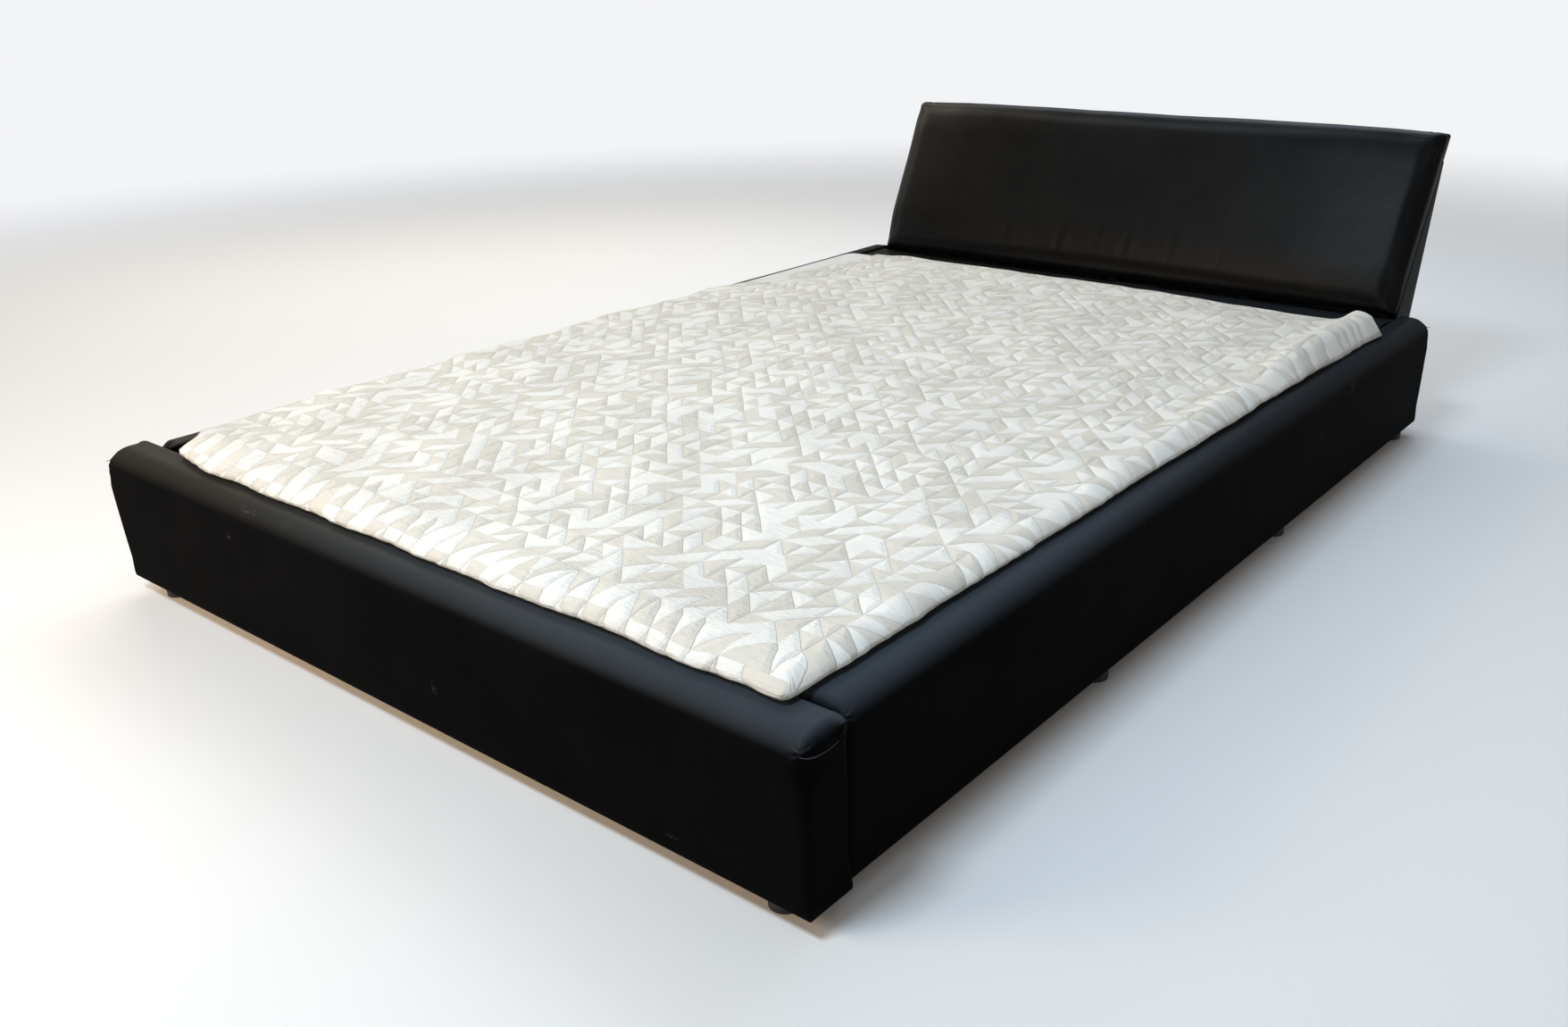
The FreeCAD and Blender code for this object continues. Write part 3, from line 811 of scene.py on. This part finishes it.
def stack(name, rings, finish):
    """A closed skin over a stack of outlines."""
    size = len(rings[0])
    points = np.concatenate(rings)
    faces = []
    for base in range(0, (len(rings) - 1) * size, size):
        for i in range(size):
            j = (i + 1) % size
            faces.append([base + i, base + j, base + size + j, base + size + i])
    faces.append(list(range(size))[::-1])
    faces.append([(len(rings) - 1) * size + i for i in range(size)])
    return make_piece(name, points, faces, finish)


def ticking_finish():
    """Woven cotton ticking: cream with a fine stripe and a diagonal twill weave."""
    finish = Finish("ticking_cloth")
    place = finish.place()
    x, y, z = finish.axes(place)
    stripe = finish.ramp(((x + y) * 38.0).fraction(), 0.78, 0.82)
    twill = ((x + y) * 700.0 + z * 700.0).wave() * 0.5 + 0.5
    weave = finish.mottle(place, 500.0, 3.0)
    cream = finish.tint(weave, (0.66, 0.64, 0.58, 1), (0.74, 0.72, 0.67, 1))
    colour = finish.tint(stripe * 0.7, cream, (0.34, 0.38, 0.45, 1))
    return finish.dress(colour, 0.85 + weave * 0.1, twill * 0.00012 + weave * 0.0002)


quilt_low, quilt_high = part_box("quilted_cover")


def tugged(points, spare=0.0):
    """The left side, drawn in towards the head, and the rounder corner at its foot."""
    x, y, z = points[:, 0].copy(), points[:, 1].copy(), points[:, 2].copy()
    left = ease(-x, 0.52, 0.74)
    height = ease(z, quilt_low.z, quilt_low.z + 0.06)
    tug = 0.085 * ease(y, 0.05, 0.80) + 0.010 * np.sin(y * 17) + 0.005 * np.sin(y * 41 + 1)
    x += left * height * (tug + 0.010 + spare)
    foot = ease(-y, 1.02, 1.156) * left * height
    x += 0.012 * foot
    y += 0.016 * foot
    z -= left * ease(z, quilt_high.z - 0.030, quilt_high.z - 0.004) * 0.006 * ease(y, 0.1, 0.8)
    head = ease(x, 0.15, 0.70) * ease(y, 0.72, 0.87) * height
    y -= head * (0.035 + spare)
    return np.stack([x, y, z], axis=1)


tick_low, tick_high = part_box("mattress_ticking")
TICK_CORNER = 0.085
mattress_rings = []
mattress_profile = [
    (0.075, 0.0), (0.040, 0.0004), (0.018, 0.002), (0.007, 0.006), (0.003, 0.010), (0.001, 0.013),
    (0.003, 0.017), (0.006, 0.019), (0.005, 0.03), (0.002, 0.06), (0.000, 0.10), (0.000, 0.13),
    (0.002, 0.155), (0.006, 0.168), (0.004, 0.172), (0.003, 0.176), (0.005, 0.181), (0.008, 0.184),
    (0.015, 0.195), (0.026, 0.206), (0.038, 0.2125), (0.055, 0.2145), (0.085, 0.215),
]
for inset, rise in mattress_profile:
    ring = outline(tick_high.x - inset, tick_low.y + inset, tick_high.y - inset,
                   max(TICK_CORNER - inset, 0.008), tick_low.z + rise)
    mattress_rings.append(tugged(ring, spare=0.005))
mattress_skin = stack("mattress_skin", mattress_rings, ticking_finish())
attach(mattress_skin, "mattress")
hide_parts("mattress_ticking")
print("the mattress is", round(2 * tick_high.x, 3), "by", round(tick_high.y - tick_low.y, 3), "m")

# %% [markdown]
# ## The quilted cover
# The cover is pale cotton, quilted in a patchwork of half-square triangles, laid over the mattress
# and tucked down all round. It's one flat cloth, so it is made as a grid that keeps each
# point's place on the flat cloth. The patchwork is drawn in those cloth places, so it bends over the
# edges with the fabric. Each grid point is sent over the mattress's rounded edge and down its side.
# %% Lay the cloth over the mattress
QUILT_CORNER = 0.026
QUILT_ROLL = 0.016
QUILT_STEP = 0.0066
ROUNDED = 0.045
quilt_drop = quilt_high.z - quilt_low.z
over_edge = QUILT_CORNER - QUILT_ROLL + QUILT_ROLL * math.pi / 2 + quilt_drop - QUILT_ROLL
half_cloth = quilt_high.x - QUILT_CORNER + over_edge
foot_cloth = quilt_low.y + QUILT_CORNER - over_edge
head_cloth = quilt_high.y - QUILT_CORNER + over_edge
cloth_u = np.linspace(-half_cloth, half_cloth, round(2 * half_cloth / QUILT_STEP))
cloth_v = np.linspace(foot_cloth, head_cloth, round((head_cloth - foot_cloth) / QUILT_STEP))
grid_u, grid_v = np.meshgrid(cloth_u, cloth_v)
cloth = np.stack([grid_u.ravel(), grid_v.ravel()], axis=1)

flat_low = np.array([-quilt_high.x + QUILT_CORNER, quilt_low.y + QUILT_CORNER])
flat_high = np.array([quilt_high.x - QUILT_CORNER, quilt_high.y - QUILT_CORNER])
nearest = np.clip(cloth, flat_low, flat_high)
arm = cloth - (flat_low + ROUNDED)
arm_length = np.linalg.norm(arm, axis=1)
rounded = (arm < 0).all(axis=1) & (arm_length > ROUNDED)
nearest[rounded] = flat_low + ROUNDED + arm[rounded] * (ROUNDED / arm_length[rounded])[:, None]
beyond = cloth - nearest
reach_out = np.minimum(np.abs(beyond).max(axis=1), over_edge)
roundness = np.where((cloth[:, 0] < 0) & (cloth[:, 1] < 0), 2.0, 5.0)
spread_length = (np.abs(beyond) ** roundness[:, None]).sum(axis=1) ** (1 / roundness)
heading = beyond / np.maximum(spread_length, 1e-9)[:, None]
bend = np.clip((reach_out - (QUILT_CORNER - QUILT_ROLL)) / QUILT_ROLL, 0, None)
turned = np.minimum(bend, math.pi / 2)
outwards = np.minimum(reach_out, QUILT_CORNER - QUILT_ROLL) + QUILT_ROLL * np.sin(turned)
fallen = QUILT_ROLL * (1 - np.cos(turned)) + QUILT_ROLL * (bend - turned)
quilt = np.column_stack([nearest + heading * outwards[:, None], quilt_high.z - fallen])
print("the quilt is cut", round(2 * half_cloth, 3), "by", round(head_cloth - foot_cloth, 3), "m")

# %% [markdown]
# A cover that's been slept on is never even. The left edge has been pulled in towards the head, the
# far right edge has rolled up into a ridge, and the cloth that was pushed down beside the
# rails bulges against them. Each of these is a smooth push on part of the grid.
# %% Rumple the quilt
def rumple(points):
    """Waves and the rolled ridge of a cover that has been used."""
    x, y, z = tugged(points).T
    top = ease(z, quilt_high.z - 0.030, quilt_high.z - 0.004)
    flat = np.column_stack([x, y, np.zeros(len(x))])
    z += top * (drift(flat, 5.0, 11.0) * 0.0020 + drift(flat, 16.0, 4.0) * 0.0016)
    folds = np.sin((y + 0.3 * x) * 60 + 4 * drift(flat, 4.0, 7.0))
    z += 0.0012 * folds * top * ease(x, 0.60, 0.74)
    crumple = drift(flat * np.array([1.0, 3.0, 1.0]), 22.0, 9.0)
    z += 0.0016 * crumple * top * ease(-y, 1.02, 1.12)
    ridge_height = 0.015 * ease(y, 0.22, 0.60) + 0.012 * ease(y, -0.35, 0.10)
    ridge_height = (ridge_height - 0.009 * bell(y - 0.27, 0.07)) * (1 + 0.10 * np.sin(y * 23))
    ridge_middle = quilt_high.x - 0.020 + 0.005 * np.sin(y * 9)
    lift = ridge_height * bell(x - ridge_middle, 0.030)
    z += lift * ease(z, quilt_high.z - 0.034, quilt_high.z - 0.012)
    x += 0.9 * lift * ease(x, ridge_middle, quilt_high.x)
    return np.stack([x, y, z], axis=1)


def press_on_panels(points):
    """Lets the hanging sides bulge, then stops them at the rails and the footboard."""
    x, y, z = points.T
    over_top = rail_high.z + 0.0075
    spread = np.where(z > over_top, 0.017, 0.0075)
    soft = bell(z - over_top, spread) * (0.024 + 0.004 * drift(points, 9.0, 2.5))
    small = drift(points * np.array([1.0, 1.0, 0.3]), 45.0, 6.0) * 0.0022 * bell(z - over_top, 0.014)
    x = x + (soft + small) * ease(x, 0.738, 0.752)
    y = y - (soft * 1.75 + small) * ease(-y, 1.125, 1.145)
    wide, tall = INNER_ROLL
    share = np.clip((z - rail_high.z + tall) / tall, 0, 1)
    curve = wide * (1 - np.sqrt(1 - share ** 2))
    over = z > rail_high.z + 0.0005
    x = np.where(over, x, np.minimum(x, rail_low.x + curve - 0.0006))
    y = np.where(over, y, np.maximum(y, foot_high.y - curve + 0.0006))
    return np.stack([x, y, z], axis=1)


quilt = press_on_panels(rumple(quilt))
print("the quilt's highest fold is at", round(float(quilt[:, 2].max()), 4))

# %% [markdown]
# ## The patchwork
# The print is a grid of small squares, each cut corner to corner into a white and a pale greige
# triangle. White noise picks each square's turn. Lines of stitching follow some of the edges,
# and the wadding puffs up between them. The cotton is crinkled like seersucker, in fine lines
# that run across the bed.
# %% The quilt's finish
PATCH = 0.0412


def quilt_finish():
    finish = Finish("quilt_cotton")
    cloth_place = finish.node("Attribute", {"attribute_name": "cloth"}, output="Vector")
    wander = finish.mottle(cloth_place, 9.0, 2.0, 0.5, output="Color")
    centred = finish.vectors("SUBTRACT", wander, (0.5, 0.5, 0.5))
    moved = finish.vectors("ADD", cloth_place, finish.stretched(centred, (0.010, 0.010, 0.0)))
    squares = finish.stretched(moved, (1 / PATCH, 1 / PATCH, 0.0))
    across, along, _ = finish.axes(squares)
    cell = finish.vectors("FLOOR", squares)
    chance = finish.node("TexWhiteNoise", sockets={"Vector": cell}, output="Color")
    turn, swap, plain = finish.axes(chance)
    right, upper = across.fraction(), along.fraction()
    falling = right + upper - 1
    rising = right - upper
    chosen = turn > 0.62
    side = falling + (rising - falling) * chosen
    half = finish.ramp(side, -0.016, 0.016)
    white = abs(half - (swap > 0.5)).larger(plain > 0.93)

    line = finish.vectors("FLOOR", finish.vectors("ADD", squares, (0.5, 0.0, 7.0)))
    sewn_upright = finish.node("TexWhiteNoise", sockets={"Vector": line}) > 0.42
    from_upright = abs((across + 0.5).fraction() - 0.5) + (1 - sewn_upright)
    from_corner = abs(side) * 0.707 + (plain > 0.72)
    from_stitch = from_upright.smaller(from_corner) * PATCH
    puff = finish.ramp(from_stitch, 0.0, 0.011)
    groove = finish.ramp(from_stitch, 0.0003, 0.0016, 1.0, 0.0)
    dash = finish.ramp(((across + along) * 9.0).fraction(), 0.25, 0.45)

    fine = finish.mottle(finish.stretched(cloth_place, (38.0, 330.0, 1.0)), 1.0, 3.0, 0.6)
    broad = finish.mottle(finish.stretched(cloth_place, (14.0, 95.0, 1.0)), 1.0, 3.0, 0.6)
    patchy = finish.ramp(finish.mottle(cloth_place, 6.0, 2.0), 0.35, 0.65, 0.35, 1.0)
    thread = finish.mottle(cloth_place, 1500.0, 2.0)
    crinkles = fine * patchy * 0.0052 + broad * 0.0040
    height = puff * 0.0024 + crinkles + thread * 0.0001 - groove * 0.0008

    # Painted shade in the crinkles: the print's tone follows the fine crinkle relief, paler on the
    # crests and darker in the hollows.
    greige = finish.tint(fine, (0.61, 0.575, 0.505, 1), (0.73, 0.695, 0.635, 1))
    cream = finish.tint(fine, (0.74, 0.725, 0.680, 1), (0.86, 0.850, 0.815, 1))
    print_colour = finish.tint(white, greige, cream)
    # Painted shade: the print is darkened towards the head of the bed, where the headboard keeps
    # light off the quilt.
    _, towards_head, _ = finish.axes(cloth_place)
    shade_towards_head = finish.ramp(towards_head, -0.6, 1.0, 0.0, 0.34)
    print_with_head_shade = finish.tint(shade_towards_head, print_colour, (0.46, 0.43, 0.36, 1))
    colour = finish.tint(groove * dash * 0.35, print_with_head_shade, (0.30, 0.27, 0.23, 1))
    return finish.dress(colour, 0.82 + thread * 0.12, height, specular_ior_level=0.2,
                        sheen_weight=0.12, sheen_roughness=0.5)


quilt_cotton = quilt_finish()
quilt_faces = grid_faces(len(cloth_v), len(cloth_u))
quilt_piece = make_piece("quilt", quilt, quilt_faces, quilt_cotton)
attribute = quilt_piece.data.attributes.new("cloth", "FLOAT_VECTOR", "POINT")
attribute.data.foreach_set("vector", np.column_stack([cloth, np.zeros(len(cloth))]).ravel())
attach(quilt_piece, "mattress")
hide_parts("quilted_cover")
print("the quilt has", len(quilt_faces), "squares")

# %% Bind the quilt's edge
def edge_binding(name, rim, width, thickness, finish, turns=10):
    """A folded cotton strip round a closed rim of points."""
    count = len(rim)
    ahead = np.roll(rim, -1, axis=0) - np.roll(rim, 1, axis=0)
    ahead[:, 2] = 0
    ahead /= np.maximum(np.linalg.norm(ahead, axis=1, keepdims=True), 1e-9)
    sideways = np.stack([ahead[:, 1], -ahead[:, 0], np.zeros(count)], axis=1)
    points, faces = [], []
    for k in range(turns):
        angle = 2 * math.pi * k / turns
        out = sideways * (thickness / 2 * math.cos(angle))
        points.append(rim + out + np.array([0, 0, width / 2 * math.sin(angle)]))
    for k in range(turns):
        for i in range(count):
            j = (i + 1) % count
            n = (k + 1) % turns
            faces.append([k * count + i, k * count + j, n * count + j, n * count + i])
    return make_piece(name, np.concatenate(points), faces, finish)


rim_points = quilt[grid_rim(len(cloth_v), len(cloth_u))]
steps = np.linalg.norm(np.diff(rim_points, axis=0), axis=1)
keep = np.concatenate([[True], steps > 0.001])


def binding_finish():
    """Plain cotton binding with a row of stitches."""
    finish = Finish("cotton_binding")
    place = finish.place()
    x, y, z = finish.axes(place)
    weave = finish.mottle(place, 900.0, 3.0)
    stitch = finish.ramp(((x + y) * 260.0).fraction(), 0.4, 0.6)
    colour = finish.tint(weave, (0.70, 0.68, 0.63, 1), (0.80, 0.79, 0.75, 1))
    return finish.dress(colour, 0.8 + weave * 0.15, weave * 0.0002 + stitch * 0.0001)


BINDING_WIDTH = 0.012
BINDING_THICK = 0.0024
quilt_binding = edge_binding("quilt_binding", rim_points[keep], BINDING_WIDTH, BINDING_THICK,
                             binding_finish())
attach(quilt_binding, "mattress")
print("the binding is", round(float(steps.sum()), 2), "m long")

# %% [markdown]
# ## The boards, slats and hardware
# The hidden parts are the CAD model's own meshes, which must not move, so they only get finishes.
# Each one is what a furniture maker buys: flakeboard, plywood, rough pine, smooth
# birch slats, zinc-plated screws, black plastic feet and powder-coated brackets.
# %% Wood finishes
def grain_finish(name, pale, dark, along, knots, gloss=0.62):
    """Sawn wood whose grain runs along one axis."""
    finish = Finish(name)
    place = finish.place()
    squeeze = [9.0, 9.0, 9.0]
    squeeze[along] = 0.7
    lines = finish.stretched(place, squeeze)
    bent = finish.mottle(lines, 1.2, 2.0)
    rings = finish.mottle(lines, 9.0, 5.0, 0.65)
    band = ((rings + bent) * 26.0).wave() * 0.5 + 0.5
    pores = finish.mottle(finish.stretched(place, [v * 40 for v in squeeze]), 1.0, 2.0)
    knot = finish.ramp(finish.cells(lines, 0.9 * knots), 0.03, 0.10, 1.0, 0.0)
    wood = finish.tint(band * 0.55 + pores * 0.3, pale, dark)
    colour = finish.tint(knot * 0.7, wood, tuple(v * 0.35 for v in dark[:3]) + (1.0,))
    return finish.dress(colour, gloss + band * 0.12, band * 0.0001 + pores * 0.0002)


def flakeboard_finish():
    """Pressed wood chips in a yellow-brown glue."""
    finish = Finish("particle_board")
    place = finish.place()
    chips = finish.cells(finish.stretched(place, (1.0, 1.0, 1.6)), 260.0, output="Color")
    chip_tone, chip_rise, _ = finish.axes(chips)
    dust = finish.mottle(place, 700.0, 3.0)
    tone = chip_tone * 0.7 + dust * 0.3
    colour = finish.tint(tone, (0.30, 0.19, 0.10, 1), (0.58, 0.43, 0.27, 1))
    return finish.dress(colour, 0.75 + dust * 0.15, chip_rise * 0.0004)


def plywood_finish():
    """Rotary-cut face veneer with wild grain."""
    finish = Finish("plywood")
    place = finish.place()
    wild = finish.mottle(finish.stretched(place, (2.2, 9.0, 14.0)), 1.0, 4.0, 0.6)
    figure = (wild * 34.0).wave() * 0.5 + 0.5
    pores = finish.mottle(finish.stretched(place, (25.0, 300.0, 300.0)), 1.0, 2.0)
    colour = finish.tint(figure * 0.5 + pores * 0.3, (0.62, 0.48, 0.31, 1), (0.38, 0.25, 0.14, 1))
    return finish.dress(colour, 0.66 + figure * 0.1, figure * 0.0001 + pores * 0.0002)


# %% Foam, filling, metal and plastic finishes
def foam_finish(name, pale, deep, cells):
    """Open-cell foam or felted filling: a sponge of small holes."""
    finish = Finish(name)
    place = finish.place()
    holes = finish.cells(place, cells, "SMOOTH_F1")
    stain = finish.mottle(place, 12.0, 4.0)
    # Painted shade in the pores: the holes get the deep colour towards their middles, where the
    # relief dips.
    colour = finish.tint(holes * 0.7 + stain * 0.3, deep, pale)
    return finish.dress(colour, 0.9 + stain * 0.08, holes * 0.0006)


def zinc_finish():
    """Bright zinc plating: a bluish metal with cloudy spangle and handling marks."""
    finish = Finish("zinc_hardware")
    place = finish.place()
    tone = finish.axes(finish.cells(place, 500.0, output="Color"))[0]
    marks = finish.mottle(place, 260.0, 4.0)
    colour = finish.tint(tone * 0.5 + marks * 0.4, (0.52, 0.54, 0.56, 1), (0.74, 0.75, 0.76, 1))
    return finish.dress(colour, 0.28 + marks * 0.25, marks * 0.00005, metallic=1.0)


def powder_coat_finish():
    """Black powder coat on pressed steel: a fine orange-peel skin."""
    finish = Finish("bracket_steel")
    place = finish.place()
    peel = finish.mottle(place, 420.0, 2.0)
    dust = finish.mottle(place, 40.0, 4.0)
    colour = finish.tint(dust, (0.016, 0.016, 0.017, 1), (0.035, 0.034, 0.033, 1))
    return finish.dress(colour, 0.38 + dust * 0.2, peel * 0.0002)


def moulded_plastic_finish():
    """Black moulded plastic with a spark-eroded texture and scratched rims."""
    finish = Finish("foot_plastic")
    place = finish.place()
    stipple = finish.mottle(place, 1100.0, 2.0)
    scratch = finish.mottle(finish.stretched(place, (60.0, 60.0, 900.0)), 1.0, 3.0)
    rubbed = finish.ramp(scratch, 0.62, 0.70)
    colour = finish.tint(rubbed * 0.5, (0.014, 0.014, 0.015, 1), (0.08, 0.08, 0.08, 1))
    return finish.dress(colour, 0.48 + stipple * 0.15 + rubbed * 0.1, stipple * 0.00015)


# %% Put the finishes on the CAD parts
foam = foam_finish("upholstery_foam", (0.72, 0.66, 0.48, 1), (0.42, 0.36, 0.22, 1), 700.0)
filling = foam_finish("mattress_filling", (0.74, 0.73, 0.70, 1), (0.50, 0.49, 0.46, 1), 420.0)
pine = grain_finish("pine", (0.66, 0.47, 0.27, 1), (0.42, 0.25, 0.12, 1), 1, 1.0)
slat_wood = grain_finish("slat_wood", (0.70, 0.56, 0.38, 1), (0.52, 0.37, 0.22, 1), 0, 0.35, 0.45)
part_finishes = {
    "black_leathercloth": plain_cloth,
    "upholstery_foam": foam,
    "mattress_filling": filling,
    "particle_board": flakeboard_finish(),
    "plywood": plywood_finish(),
    "pine": pine,
    "slat_wood": slat_wood,
    "lining_cloth": lining,
    "foot_plastic": moulded_plastic_finish(),
    "bracket_steel": powder_coat_finish(),
    "zinc_hardware": zinc_finish(),
    "ticking_cloth": mattress_skin.data.materials[0],
    "quilt_cotton": quilt_cotton,
}
for name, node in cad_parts.items():
    for place in node.material_slots:
        place.material = part_finishes[place.material.name.split(".")[0]]
print("finished", len(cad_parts), "CAD parts with", len(part_finishes), "finishes")

# %% [markdown]
# ## Floor and light
# The bed stands on a plain pale floor, which fades out so that it has no edge. The light comes
# from soft panels, as from big windows: a cool one behind the headboard, a warm one high on the
# left, and a cool one above the foot, which keeps the quilt pale. A warm lamp stands low at the
# foot. Large panels give soft shadows, and pale walls fill in the dark sides.
# %% Lay the floor
def floor_finish():
    finish = Finish("pale_floor")
    cloud = finish.mottle(finish.place(), 0.8, 3.0)
    colour = finish.tint(cloud, (0.78, 0.78, 0.78, 1), (0.80, 0.80, 0.80, 1))
    solid = finish.ramp(finish.length(finish.place()), 2.6, 6.5, 1.0, 0.0)
    return finish.dress(colour, 0.9 + cloud * 0.05, alpha=solid, specular_ior_level=0.1)


FLOOR_REACH = 60.0
FLOOR_PARTS = 64
floor_points = [(0.0, 0.0, 0.0)]
floor_points += [(FLOOR_REACH * math.cos(a), FLOOR_REACH * math.sin(a), 0.0)
                 for a in np.linspace(0, 2 * math.pi, FLOOR_PARTS + 1)[:-1]]
floor_faces = [[0, 1 + i, 1 + (i + 1) % FLOOR_PARTS] for i in range(FLOOR_PARTS)]
floor = make_piece("floor", floor_points, floor_faces, floor_finish())

# %% Hang the lights
def soft_light(name, place, target, size, power, colour):
    """A large soft panel of light that faces a target."""
    data = bpy.data.lights.new(name, "AREA")
    data.shape = "RECTANGLE"
    data.size, data.size_y = size
    data.energy = power
    data.color = colour
    lamp = bpy.data.objects.new(name, data)
    bpy.context.scene.collection.objects.link(lamp)
    lamp.location = place
    lamp.rotation_euler = (Vector(target) - Vector(place)).to_track_quat("-Z", "Y").to_euler()
    lamp.visible_camera = False


soft_light("window_back", (-0.5, 2.7, 3.5), (0.7, -1.0, 0.3), (3.4, 2.6), 85, (0.76, 0.88, 1.0))
soft_light("window_left", (-3.6, 1.2, 2.8), (0.0, -1.2, 0.3), (3.2, 2.0), 86, (1.0, 0.88, 0.72))
soft_light("window_front", (0.3, -2.5, 3.2), (0.4, 0.4, 0.4), (1.0, 0.7), 84, (0.72, 0.87, 1.0))
soft_light("lamp_foot", (-1.1, -3.0, 1.6), (0.0, 0.8, 0.3), (1.2, 0.7), 38, (1.0, 0.76, 0.50))
sky_data = bpy.data.lights.new("high_window", "SUN")
sky_data.energy = 0.25
sky_data.angle = math.radians(60)
sky_data.color = (1.0, 0.98, 0.94)
high_window = bpy.data.objects.new("high_window", sky_data)
bpy.context.scene.collection.objects.link(high_window)
high_window.rotation_euler = (math.radians(-8), math.radians(16), 0)

# %% Light the room's walls
room = Finish("room", bpy.data.worlds.new("room"))
upward = room.axes(room.node("TexCoord", output="Generated"))[2]
brightness = room.node("MapRange", sockets={0: upward, 1: 0.02, 2: 0.35, 3: 0.92, 4: 0.16})
pale_wall = {"Color": (0.97, 0.98, 1.0, 1), "Strength": brightness}
room.show(room.node("Background", sockets=pale_wall), "OutputWorld")
bpy.context.scene.world = room.owner
